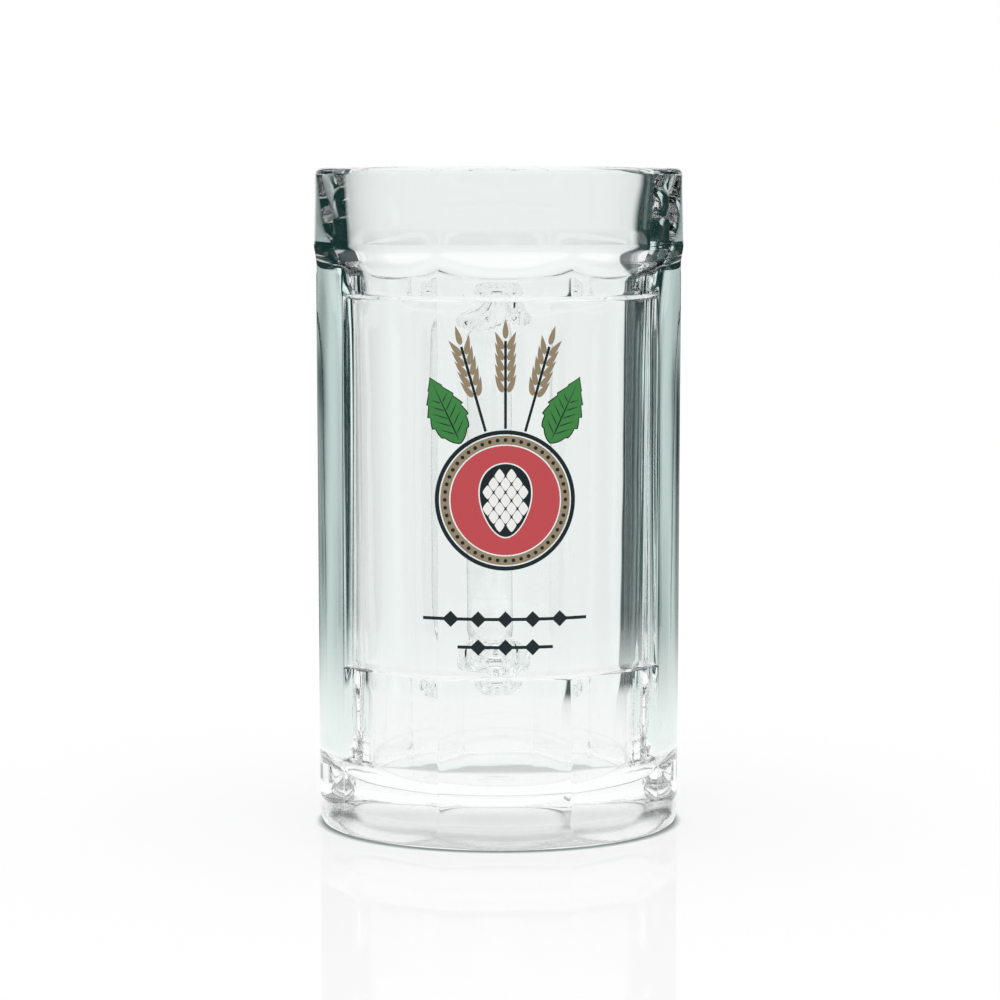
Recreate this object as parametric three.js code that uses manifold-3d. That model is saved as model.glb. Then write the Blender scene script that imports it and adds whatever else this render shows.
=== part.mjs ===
// Glass beer mug: a pressed glass body with flat facets, two rounded side columns and a round collar,
// a glass handle set on the back flat, and a fired enamel print on the round label field in front.
// Millimetres, +Z up. The origin is on the mug's axis, on the plane it stands on. The print faces -Y.

import * as THREE from 'three';
import { mergeVertices } from 'three/addons/utils/BufferGeometryUtils.js';
import Module from 'manifold-3d';

const wasm = await Module();
wasm.setup();

// Main sizes
const HEIGHT = 150;
const WIDTH = 84.5; // across the side columns, on the collar

// Bore: the round inside of the mug
const BORE_TAPER = 0.8; // the bore is this much narrower at the floor than at the foot of the collar
const MOUTH_FLARE = 2.5; // and this much wider at the rim
const MOUTH_HEIGHT = 26; // how far down from the rim the bore opens out
const FLOOR_THICKNESS = 10.5;
const FLOOR_CORNER = 6; // rounding between floor and wall

// Outside of the body
const FLAT_WALL = 2.4; // thinnest glass, in the middle of a flat
const COLUMN_RISE = 5.9; // how far a side column stands out past the flats, at its top
const COLUMN_TAPER = 0.4; // a column is this much lower at its foot
const FOOT_RISE = 4.4; // how far the round foot stands out past the flats
const FOOT_HEIGHT = 5; // height over which flats and columns run out into the foot
const FOOT_ROUND = 0.5; // rounding of the edge it stands on
const COLLAR_RISE = 5; // how far the collar stands out past the flats
const COLLAR_STEP = 0.55; // how far a column stands out further on the collar
const COLLAR_DRAFT = 0.4; // the collar is this much narrower at the rim
const COLLAR_HEIGHT = 17; // from the rim down to the widest place of the collar
const COLLAR_DROP = 8.5; // height of the sloping underside of the collar
const LIP_OUTER_ROUND = 1.4;
const LIP_INNER_ROUND = 2;

// Label field: the smooth round part of the front
const LABEL_RISE = 2.1; // how far it stands out past the middle of a flat
const LABEL_BOTTOM = 38.4;
const LABEL_MARGIN = 4; // from the collar's foot down to the label field
const LABEL_LEDGE = 1.3; // height of the sloping ledge above and below it

// Grooves: a V on either side of the label field, between it and the side column
const GROOVE_DEPTH = 2.2; // at the top
const GROOVE_TAPER = 0.9; // a groove is this much shallower at the label's lower edge
const GROOVE_RUN_IN = 12; // height over which it runs out below the label field
const GROOVE_RUN_OUT = 5; // and below the collar
const GROOVE_SEAT = 2.6; // degrees from the column's edge to the bottom of the groove
const GROOVE_INNER = 4; // degrees from there to the groove's edge on the label field
const GROOVE_OUTER = 2; // and to its edge beside the column
const GROOVE_OVERCUT = 1.5; // the cutter is this much larger than the groove

// Handle, on the flat at the back
const HANDLE_DROP = 33; // from the rim down to the middle of the upper root
const HANDLE_SPAN = 85; // between the middles of the two roots
const HANDLE_REACH = 36; // from the back flat to the middle of the grip, at the top
const HANDLE_TUCK = 5; // how much nearer the grip is at the bottom
const HANDLE_BEND = 24; // size of the two bends
const GRIP_WIDTH = 17;
const GRIP_DEPTH = 11;
const ROOT_WIDTH = 19.5;
const ROOT_HEIGHT = 12.5;
const ROOT_FLARE = 12; // length over which a root widens

// Print
const INK_GAP = 0.1; // between glass and ink
const INK = 0.2; // thickness of the fired enamel
const MEDALLION_RADIUS = 15.4;
const MEDALLION_DROP = 2.2; // from the middle of the label field down to the medallion's middle
const KEYLINE = 0.9; // width of the dark ring
const BAND = 1.9; // width of the pale ring
const INK_SPACE = 0.3; // bare glass between two colours
const CONE_HEIGHT = 16;
const CONE_WIDTH = 11;
const CONE_TAPER = 0.22; // share by which the cone is wider at the top
const CONE_SCALLOPS = 9;
const SCALLOP_DEPTH = 0.06; // share of the cone's size
const LEAF_LENGTH = 15.5;
const LEAF_WIDTH = 8.4;
const LEAF_FULLNESS = 0.75; // below 1 the widest place moves towards the stem
const LEAF_TEETH = 6;
const SAW_DEPTH = 0.16; // share of the leaf's width
const LEAF_SEAT = 38; // degrees round the medallion from its top to a leaf's stem
const LEAF_LEAN = 25; // degrees by which a leaf leans outwards
const EAR_COUNT = 3;
const EAR_LENGTH = 24;
const EAR_SPREAD = 16; // degrees between two ears
const KERNEL_LENGTH = 4.2;
const KERNEL_WIDTH = 1.9;
const KERNEL_LEAN = 26; // degrees
const KERNEL_PAIRS = 5;
const STALK_WIDTH = 0.9;
const BARE_STALK = 0.33; // share of an ear's length below the lowest kernels
const RULE_DROP = 10.8; // from the medallion's lower edge to the upper rule
const RULE_PITCH = 6.2; // between the two rules
const RULE_LENGTHS = [36, 21];
const RULE_WIDTH = 0.7;
const LOZENGE = 3.6; // length of each lozenge on a rule
const LOZENGE_PITCH = 6;

// Fineness
const RING_POINTS = 80;
const ARC_STEPS = 3;
const SLOPE_STEPS = 4;
const HANDLE_STEPS = 44;
const HANDLE_SIDES = 20;
const CURVE_POINTS = 40;
const TOOTH_POINTS = 5;
const KERNEL_POINTS = 10;

// Worked out from the sizes above
const FACET = Math.PI / 4; // a flat or a column takes an eighth of the way round
const COLUMN_RADIUS = WIDTH / 2 - COLLAR_STEP;
const FLAT_DISTANCE = COLUMN_RADIUS - COLUMN_RISE;
const BORE_RADIUS = FLAT_DISTANCE - FLAT_WALL;
const BORE_FLOOR_RADIUS = BORE_RADIUS - BORE_TAPER;
const BORE_MOUTH_RADIUS = BORE_RADIUS + MOUTH_FLARE;
const FOOT_RADIUS = FLAT_DISTANCE + FOOT_RISE;
const COLLAR_Z = HEIGHT - COLLAR_HEIGHT;
const COLLAR_FOOT_Z = COLLAR_Z - COLLAR_DROP;
const LABEL_RADIUS = FLAT_DISTANCE + LABEL_RISE;
const LABEL_TOP = COLLAR_FOOT_Z - LABEL_MARGIN;
const LABEL_EDGE = 1.5 * FACET; // the label field ends where the side columns begin
const LABEL_SIDE = LABEL_EDGE - (2 * Math.PI) / RING_POINTS;
const HANDLE_TOP_Z = HEIGHT - HANDLE_DROP;
const HANDLE_LOW_Z = HANDLE_TOP_Z - HANDLE_SPAN;
const MEDALLION_Z = (LABEL_TOP + LABEL_BOTTOM) / 2 - MEDALLION_DROP;

const GLASS = new THREE.MeshStandardMaterial({
  color: 0xe4edea, roughness: 0.04, metalness: 0, transparent: true, opacity: 0.45,
});
const INKS = {
  black: new THREE.MeshStandardMaterial({ color: 0x1e2c2e, roughness: 0.4, metalness: 0 }),
  white: new THREE.MeshStandardMaterial({ color: 0xf2f2ee, roughness: 0.4, metalness: 0 }),
  red: new THREE.MeshStandardMaterial({ color: 0xc64048, roughness: 0.4, metalness: 0 }),
  green: new THREE.MeshStandardMaterial({ color: 0x37883a, roughness: 0.4, metalness: 0 }),
  tan: new THREE.MeshStandardMaterial({ color: 0x9a8668, roughness: 0.4, metalness: 0 }),
};

const mug = new THREE.Group();

function addPart(name, geometry, material) {
  const mesh = new THREE.Mesh(geometry, material);
  mesh.name = name;
  mug.add(mesh);
}

// A closed skin over rings of points, with a fan over the first ring and over the last one
function skin(rings) {
  const count = rings[0].length;
  const points = rings.flat();
  const triangles = [];
  for (let i = 0; i < rings.length - 1; i += 1) {
    for (let j = 0; j < count; j += 1) {
      const a = i * count + j;
      const b = i * count + ((j + 1) % count);
      triangles.push(a, b, b + count, a, b + count, a + count);
    }
  }
  const last = (rings.length - 1) * count;
  const middle = (ring) => ring.reduce((sum, p) => sum.add(p), new THREE.Vector3()).divideScalar(count);
  const start = points.push(middle(rings[0])) - 1;
  const end = points.push(middle(rings[rings.length - 1])) - 1;
  for (let j = 0; j < count; j += 1) {
    const next = (j + 1) % count;
    triangles.push(start, next, j, end, last + j, last + next);
  }
  const geometry = new THREE.BufferGeometry().setFromPoints(points);
  geometry.setIndex(triangles);
  return geometry;
}

function toSolid(geometry) {
  geometry.deleteAttribute('normal');
  geometry.deleteAttribute('uv');
  const merged = mergeVertices(geometry);
  return new wasm.Manifold(new wasm.Mesh({
    numProp: 3,
    vertProperties: new Float32Array(merged.attributes.position.array),
    triVerts: new Uint32Array(merged.index.array),
  }));
}

function toGeometry(solid) {
  const mesh = solid.getMesh();
  const geometry = new THREE.BufferGeometry();
  geometry.setAttribute('position', new THREE.BufferAttribute(mesh.vertProperties, 3));
  geometry.setIndex(new THREE.BufferAttribute(mesh.triVerts, 1));
  return geometry;
}

function clamp01(value) {
  return THREE.MathUtils.clamp(value, 0, 1);
}

// Round of a side column through its crest and through the ridges on either side of it
function columnRadius(aside, ridge, crest) {
  const half = FACET / 2;
  const centre = (crest ** 2 - ridge ** 2) / (2 * (crest - ridge * Math.cos(half)));
  return centre * Math.cos(aside) + Math.sqrt((crest - centre) ** 2 - (centre * Math.sin(aside)) ** 2);
}

// Share of the label field at an angle and height: 1 on the field, 0 off it, sloping between
function labelShare(angle, z) {
  const side = (LABEL_EDGE - Math.abs(angle)) / (LABEL_EDGE - LABEL_SIDE);
  const low = (z - LABEL_BOTTOM + LABEL_LEDGE) / LABEL_LEDGE;
  const high = (LABEL_TOP + LABEL_LEDGE - z) / LABEL_LEDGE;
  return clamp01(Math.min(side, low, high));
}

// Share of the collar at a height: 1 on the collar, 0 below it, sloping between
function collarShare(z) {
  return clamp01((z - COLLAR_FOOT_Z) / COLLAR_DROP);
}

function collarDraft(z) {
  return COLLAR_DRAFT * clamp01((z - COLLAR_Z) / COLLAR_HEIGHT);
}

// Outer radius of the flats, the label field and the collar at an angle from the front and a height
function frontRadius(angle, z) {
  const label = labelShare(angle, z);
  const foot = clamp01(1 - z / FOOT_HEIGHT) ** 2;
  const collar = FLAT_DISTANCE + COLLAR_RISE * collarShare(z) - collarDraft(z);
  const distance = FLAT_DISTANCE + LABEL_RISE * label + FOOT_RISE * foot;
  const limit = FOOT_RADIUS + (LABEL_RADIUS - FOOT_RADIUS) * label;
  const offFlat = angle - Math.round(angle / FACET) * FACET;
  return Math.max(Math.min(distance / Math.cos(offFlat), limit), collar);
}

// Outer radius of the body at an angle from the front and a height
function outerRadius(angle, z) {
  const aside = Math.abs(angle) - Math.PI / 2;
  if (Math.abs(aside) >= FACET / 2) {
    return frontRadius(angle, z);
  }
  const below = clamp01(1 - z / FOOT_HEIGHT);
  const tapered = COLUMN_RADIUS - COLUMN_TAPER * clamp01(1 - z / COLLAR_FOOT_Z);
  const standing = FOOT_RADIUS + (tapered - FOOT_RADIUS) * Math.sqrt(1 - below ** 2);
  const crest = standing + COLLAR_STEP * collarShare(z) - collarDraft(z);
  return columnRadius(aside, frontRadius(LABEL_EDGE, z), crest);
}

function ring(radiusAt, z) {
  const points = [];
  for (let i = 0; i < RING_POINTS; i += 1) {
    const angle = ((i - RING_POINTS / 2) * 2 * Math.PI) / RING_POINTS;
    const radius = radiusAt(angle);
    points.push(new THREE.Vector3(radius * Math.sin(angle), -radius * Math.cos(angle), z));
  }
  return points;
}

// A quarter round as [share along, share across] steps, leaving out its start
function quarterRound() {
  const steps = [];
  for (let i = 1; i <= ARC_STEPS; i += 1) {
    const turn = (i / ARC_STEPS) * (Math.PI / 2);
    steps.push([1 - Math.cos(turn), Math.sin(turn)]);
  }
  return steps;
}

// Heights in even steps from a height upwards, both ends included
function slopeLevels(low, height) {
  return Array.from({ length: SLOPE_STEPS + 1 }, (_, i) => low + (height * i) / SLOPE_STEPS);
}

function bodyGeometry() {
  const levels = [
    ...slopeLevels(FOOT_ROUND, FOOT_HEIGHT - FOOT_ROUND),
    LABEL_BOTTOM - LABEL_LEDGE,
    LABEL_BOTTOM,
    LABEL_TOP,
    LABEL_TOP + LABEL_LEDGE,
    ...slopeLevels(COLLAR_FOOT_Z, COLLAR_DROP),
    HEIGHT - LIP_OUTER_ROUND,
  ];
  const rings = [ring((angle) => outerRadius(angle, 0) - FOOT_ROUND, 0)];
  rings.push(...levels.map((z) => ring((angle) => outerRadius(angle, z), z)));
  for (const [across, up] of quarterRound()) {
    const z = HEIGHT - LIP_OUTER_ROUND * (1 - up);
    rings.push(ring((angle) => outerRadius(angle, z) - LIP_OUTER_ROUND * across, z));
  }
  const mouth = BORE_MOUTH_RADIUS + LIP_INNER_ROUND;
  rings.push(ring(() => mouth, HEIGHT));
  for (const [down, across] of quarterRound()) {
    rings.push(ring(() => mouth - LIP_INNER_ROUND * across, HEIGHT - LIP_INNER_ROUND * down));
  }
  rings.push(ring(() => BORE_RADIUS, HEIGHT - MOUTH_HEIGHT));
  rings.push(ring(() => BORE_FLOOR_RADIUS, FLOOR_THICKNESS + FLOOR_CORNER));
  for (const [across, down] of quarterRound()) {
    const radius = BORE_FLOOR_RADIUS - FLOOR_CORNER * across;
    rings.push(ring(() => radius, FLOOR_THICKNESS + FLOOR_CORNER * (1 - down)));
  }
  return skin(rings);
}

// The cutter of one groove, on the right or left of the label field (side 1 or -1)
function grooveCutter(side) {
  const depths = [
    [LABEL_BOTTOM - GROOVE_RUN_IN, 0],
    [LABEL_BOTTOM, GROOVE_DEPTH - GROOVE_TAPER],
    [COLLAR_FOOT_Z - GROOVE_RUN_OUT, GROOVE_DEPTH],
    [COLLAR_FOOT_Z, 0],
  ];
  const seat = LABEL_EDGE - THREE.MathUtils.degToRad(GROOVE_SEAT);
  const points = [];
  for (const [z, depth] of depths) {
    const place = (angle, inset) => {
      const radius = outerRadius(angle, z) - inset;
      return new THREE.Vector3(side * radius * Math.sin(angle), -radius * Math.cos(angle), z);
    };
    const bottom = place(seat, depth);
    points.push(bottom.toArray());
    for (const width of [-GROOVE_INNER, GROOVE_OUTER]) {
      const edge = place(seat + THREE.MathUtils.degToRad(width), 0);
      points.push(bottom.clone().lerp(edge, GROOVE_OVERCUT).toArray());
    }
  }
  return wasm.Manifold.hull(points);
}

function groovedBody() {
  return toGeometry(toSolid(bodyGeometry()).subtract(grooveCutter(1)).subtract(grooveCutter(-1)));
}

// Centre line of the handle, as distance behind the flat and height
function handlePath() {
  const low = HANDLE_REACH - HANDLE_TUCK;
  const path = new THREE.Path();
  path.moveTo(0, HANDLE_TOP_Z);
  path.lineTo(HANDLE_REACH - HANDLE_BEND, HANDLE_TOP_Z);
  path.quadraticCurveTo(HANDLE_REACH, HANDLE_TOP_Z, HANDLE_REACH, HANDLE_TOP_Z - HANDLE_BEND);
  path.lineTo(low, HANDLE_LOW_Z + HANDLE_BEND);
  path.quadraticCurveTo(low, HANDLE_LOW_Z, low - HANDLE_BEND, HANDLE_LOW_Z);
  path.lineTo(0, HANDLE_LOW_Z);
  return path;
}

function handleGeometry() {
  const path = handlePath();
  const length = path.getLength();
  const rings = [];
  for (let i = 0; i <= HANDLE_STEPS; i += 1) {
    const share = i / HANDLE_STEPS;
    const place = path.getPointAt(share);
    const along = path.getTangentAt(share);
    const toRoot = Math.min(share, 1 - share) * length;
    const flare = Math.max(0, 1 - toRoot / ROOT_FLARE) ** 2;
    const halfWidth = (GRIP_WIDTH + (ROOT_WIDTH - GRIP_WIDTH) * flare) / 2;
    const halfDepth = (GRIP_DEPTH + (ROOT_HEIGHT - GRIP_DEPTH) * flare) / 2;
    const points = [];
    for (let j = 0; j < HANDLE_SIDES; j += 1) {
      const turn = (j / HANDLE_SIDES) * 2 * Math.PI;
      const across = halfWidth * Math.cos(turn);
      const out = halfDepth * Math.sin(turn);
      points.push(new THREE.Vector3(
        across,
        FLAT_DISTANCE + place.x + along.y * out,
        place.y - along.x * out,
      ));
    }
    rings.push(points);
  }
  return skin(rings);
}

// Shell of ink round the label field
function inkShell() {
  const inner = LABEL_RADIUS + INK_GAP;
  const profile = [
    new THREE.Vector2(inner, 0),
    new THREE.Vector2(inner + INK, 0),
    new THREE.Vector2(inner + INK, HEIGHT),
    new THREE.Vector2(inner, HEIGHT),
    new THREE.Vector2(inner, 0),
  ];
  return toSolid(new THREE.LatheGeometry(profile, RING_POINTS).rotateX(Math.PI / 2));
}

const SHELL = inkShell();

// Upright prism over a flat outline, standing in the front half of the mug
function prism(shape) {
  const options = { depth: LABEL_RADIUS + COLLAR_RISE, bevelEnabled: false, curveSegments: CURVE_POINTS };
  return toSolid(new THREE.ExtrudeGeometry(shape, options).rotateX(Math.PI / 2));
}

function printField(name, solid, ink) {
  addPart(name, toGeometry(solid.intersect(SHELL)), INKS[ink]);
}

// Outline from a formula that gives a point for each share of the way round
function outline(count, pointAt) {
  const points = [];
  for (let i = 0; i < count; i += 1) {
    points.push(pointAt(i / count));
  }
  return points;
}

function place(points, x, z, turn) {
  const middle = new THREE.Vector2();
  return points.map((p) => p.clone().rotateAround(middle, turn).add(new THREE.Vector2(x, z)));
}

function ringShape(outer, inner) {
  const circle = (radius) => outline(CURVE_POINTS, (share) => new THREE.Vector2(
    radius * Math.cos(share * 2 * Math.PI),
    MEDALLION_Z + radius * Math.sin(share * 2 * Math.PI),
  ));
  const shape = new THREE.Shape(circle(outer));
  if (inner > 0) {
    shape.holes.push(new THREE.Path(circle(inner)));
  }
  return shape;
}

// Hop cone: an egg with a scalloped edge, hanging with its point down
function coneOutline(margin) {
  const points = outline(TOOTH_POINTS * CONE_SCALLOPS, (share) => {
    const turn = share * 2 * Math.PI;
    const scallop = 1 - SCALLOP_DEPTH * (1 - Math.abs(Math.cos((CONE_SCALLOPS * turn) / 2)));
    const taper = 1 + CONE_TAPER * Math.sin(turn);
    const across = (CONE_WIDTH / 2) * Math.cos(turn) * taper * scallop;
    const up = (CONE_HEIGHT / 2) * Math.sin(turn) * scallop;
    const size = new THREE.Vector2(across, up);
    return size.setLength(size.length() + margin);
  });
  return place(points, 0, MEDALLION_Z, 0);
}

// Leaf with saw teeth, lying along its own x axis from stem to tip
function leafOutline() {
  const side = (share) => {
    const saw = 1 + SAW_DEPTH * ((share * LEAF_TEETH) % 1);
    return (LEAF_WIDTH / 2) * Math.sin(Math.PI * share ** LEAF_FULLNESS) * saw;
  };
  return outline(2 * TOOTH_POINTS * LEAF_TEETH, (share) => {
    const forth = share < 0.5 ? 2 * share : 2 - 2 * share;
    const sign = share < 0.5 ? -1 : 1;
    return new THREE.Vector2(LEAF_LENGTH * forth, sign * side(forth));
  });
}

function kernelOutline(x, y, turn) {
  const points = outline(KERNEL_POINTS, (share) => new THREE.Vector2(
    (KERNEL_LENGTH / 2) * (1 + Math.cos(share * 2 * Math.PI)),
    (KERNEL_WIDTH / 2) * Math.sin(share * 2 * Math.PI),
  ));
  return place(points, x, y, turn);
}

// Barley ear standing on its stalk: kernels in pairs and one at the tip, joined to the stalk
function earPieces() {
  const tip = EAR_LENGTH - KERNEL_LENGTH;
  const lowest = EAR_LENGTH * BARE_STALK;
  const spread = THREE.MathUtils.degToRad(KERNEL_LEAN);
  const pieces = [[
    new THREE.Vector2(0, -STALK_WIDTH / 2),
    new THREE.Vector2(tip, -STALK_WIDTH / 2),
    new THREE.Vector2(tip, STALK_WIDTH / 2),
    new THREE.Vector2(0, STALK_WIDTH / 2),
  ]];
  for (let i = 0; i < KERNEL_PAIRS; i += 1) {
    const along = lowest + ((tip - lowest) * i) / KERNEL_PAIRS;
    pieces.push(kernelOutline(along, 0, spread), kernelOutline(along, 0, -spread));
  }
  pieces.push(kernelOutline(tip - STALK_WIDTH, 0, 0));
  return pieces;
}

function rulePieces(length) {
  const half = length / 2;
  const thick = RULE_WIDTH / 2;
  const pieces = [[
    new THREE.Vector2(-half, -thick),
    new THREE.Vector2(half, -thick),
    new THREE.Vector2(half, thick),
    new THREE.Vector2(-half, thick),
  ]];
  const reach = Math.floor((half - LOZENGE / 2) / LOZENGE_PITCH);
  for (let i = -reach; i <= reach; i += 1) {
    const x = i * LOZENGE_PITCH;
    pieces.push([
      new THREE.Vector2(x - LOZENGE / 2, 0),
      new THREE.Vector2(x, -LOZENGE / 2),
      new THREE.Vector2(x + LOZENGE / 2, 0),
      new THREE.Vector2(x, LOZENGE / 2),
    ]);
  }
  return pieces;
}

function joined(pieces, x, z, turn) {
  const prisms = pieces.map((points) => prism(new THREE.Shape(place(points, x, z, turn))));
  return prisms.reduce((whole, next) => whole.add(next));
}

addPart('mug_body', groovedBody(), GLASS);
addPart('handle', handleGeometry(), GLASS);

// Medallion: dark ring, pale ring, red disc with the hop cone let into it
const bandRadius = MEDALLION_RADIUS - KEYLINE - INK_SPACE;
const discRadius = bandRadius - BAND - INK_SPACE;
const disc = ringShape(discRadius, 0);
disc.holes.push(new THREE.Path(coneOutline(INK_SPACE)));
printField('print_medallion_ring', prism(ringShape(MEDALLION_RADIUS, bandRadius + INK_SPACE)), 'black');
printField('print_medallion_band', prism(ringShape(bandRadius, bandRadius - BAND)), 'tan');
printField('print_medallion_disc', prism(disc), 'red');
printField('print_hop_cone', prism(new THREE.Shape(coneOutline(0))), 'white');

// Ears of barley fanning out above the medallion, and a hop leaf on either side of them
const crownRadius = MEDALLION_RADIUS + INK_SPACE;

function crownPoint(degrees) {
  const turn = THREE.MathUtils.degToRad(degrees);
  return [crownRadius * Math.sin(turn), MEDALLION_Z + crownRadius * Math.cos(turn)];
}

function upright(degrees) {
  return THREE.MathUtils.degToRad(90 - degrees);
}

for (let i = 0; i < EAR_COUNT; i += 1) {
  const lean = EAR_SPREAD * (i - (EAR_COUNT - 1) / 2);
  const [x, z] = crownPoint(lean);
  printField(`print_barley_ear_${i + 1}`, joined(earPieces(), x, z, upright(lean)), 'tan');
}
for (const [name, side] of [['print_hop_leaf_left', -1], ['print_hop_leaf_right', 1]]) {
  const [x, z] = crownPoint(side * LEAF_SEAT);
  printField(name, prism(new THREE.Shape(place(leafOutline(), x, z, upright(side * LEAF_LEAN)))), 'green');
}

// Two rules with lozenges below the medallion
['print_rule_upper', 'print_rule_lower'].forEach((name, i) => {
  const z = MEDALLION_Z - MEDALLION_RADIUS - RULE_DROP - RULE_PITCH * i;
  printField(name, joined(rulePieces(RULE_LENGTHS[i]), 0, z, 0), 'black');
});

export default mug;
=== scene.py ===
"""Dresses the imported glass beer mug: clear pressed glass, a fired enamel print and a white studio."""

import math

import bmesh
import bpy
from bpy.props import FloatProperty, FloatVectorProperty, IntProperty, PointerProperty
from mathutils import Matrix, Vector, noise
from mathutils.geometry import delaunay_2d_cdt


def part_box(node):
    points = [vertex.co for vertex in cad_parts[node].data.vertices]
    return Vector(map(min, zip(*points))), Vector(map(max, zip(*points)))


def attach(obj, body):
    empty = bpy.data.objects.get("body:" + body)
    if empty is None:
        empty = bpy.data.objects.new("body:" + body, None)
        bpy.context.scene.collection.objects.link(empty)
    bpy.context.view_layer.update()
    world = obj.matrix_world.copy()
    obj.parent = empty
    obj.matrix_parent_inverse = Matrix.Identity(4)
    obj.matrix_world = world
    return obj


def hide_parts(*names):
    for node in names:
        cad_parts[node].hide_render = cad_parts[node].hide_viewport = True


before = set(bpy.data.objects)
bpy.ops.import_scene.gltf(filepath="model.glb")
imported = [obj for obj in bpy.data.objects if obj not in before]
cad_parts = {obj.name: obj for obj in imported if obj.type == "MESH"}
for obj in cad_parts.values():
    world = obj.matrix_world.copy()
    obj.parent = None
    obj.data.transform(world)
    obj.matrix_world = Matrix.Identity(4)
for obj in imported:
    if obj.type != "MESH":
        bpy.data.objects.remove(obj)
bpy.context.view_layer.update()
BODY_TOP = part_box("mug_body")[1].z
RING_LOW, RING_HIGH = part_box("print_medallion_ring")

bl_info = {
    "name": "Glass beer mug",
    "version": (1, 0, 0),
    "blender": (4, 5, 0),
    "location": "View3D > Sidebar > Beer mug",
    "description": "Builds the glass body, the handle, the enamel print and the studio",
    "category": "Object",
}

MM = 0.001
EIGHTH = math.pi / 4
WHITE = (1, 1, 1)

# Half the angle of the back flat's part that is meshed anew for the handle's roots
BACK_WINDOW = math.radians(19)
# Heights closer than SAME are one height, points closer than TOUCH are one point
SAME = 0.001 * MM
TOUCH = SAME / 1000

# Surfaces that a ray crosses on its way through both walls, and how many reflections count as few
BODY_SURFACES = 4
FEW_BOUNCES = 7

# Bending and roughness of the clear glass, of its stippled underside and of the enamel
GLASS_BENDING = 1.52
STIPPLE_BENDING = 1.1
STIPPLE_BLUR = 0.25
ENAMEL_BLUR = 0.38
ENAMEL_SHINE = 0.35

# Edges sharper than these stay crisp
HANDLE_CREASE = math.radians(50)
INK_CREASE = math.radians(40)

# Where the faces of a round motif meet, and where on its length those of a leaf or kernel do
MIDDLE = Vector((0, 0))
FAN_SHARE = 0.42
# 1 makes a leaf or a spindle widest half-way up, less makes it widest lower down
LEAF_CURVE = 0.75
SPINDLE_CURVE = 0.6

# Points along a rule, so that it can bend, and the share of its length that its middle line has
RULE_POINTS = 25
RULE_CORE = 0.98

# Waves in the glass: where in the noise they lie, how many go round and how much finer the small ones are
STREAK_SEED = 3.0
RIPPLE_SEED = 7.0
RIPPLE_TURNS = 2.1
RIPPLE_FINER = 2.3


def length(label, description, millimetres):
    """A size property in metres, from millimetres."""
    return FloatProperty(
        name=label, description=description, default=millimetres * MM, unit="LENGTH", precision=5
    )


def in_degrees(label, description, degrees):
    """An angle property in radians, from degrees."""
    return FloatProperty(name=label, description=description, default=math.radians(degrees), subtype="ANGLE")


def plain_number(label, description, value):
    """A property without a unit, such as a share or a brightness."""
    return FloatProperty(name=label, description=description, default=value)


def how_many(label, description, amount, least=1):
    """A property that counts."""
    return IntProperty(name=label, description=description, default=amount, min=least)


def colour(label, description, rgb):
    """A colour property."""
    return FloatVectorProperty(
        name=label, description=description, subtype="COLOR", size=3, min=0, max=1, default=rgb
    )


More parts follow.
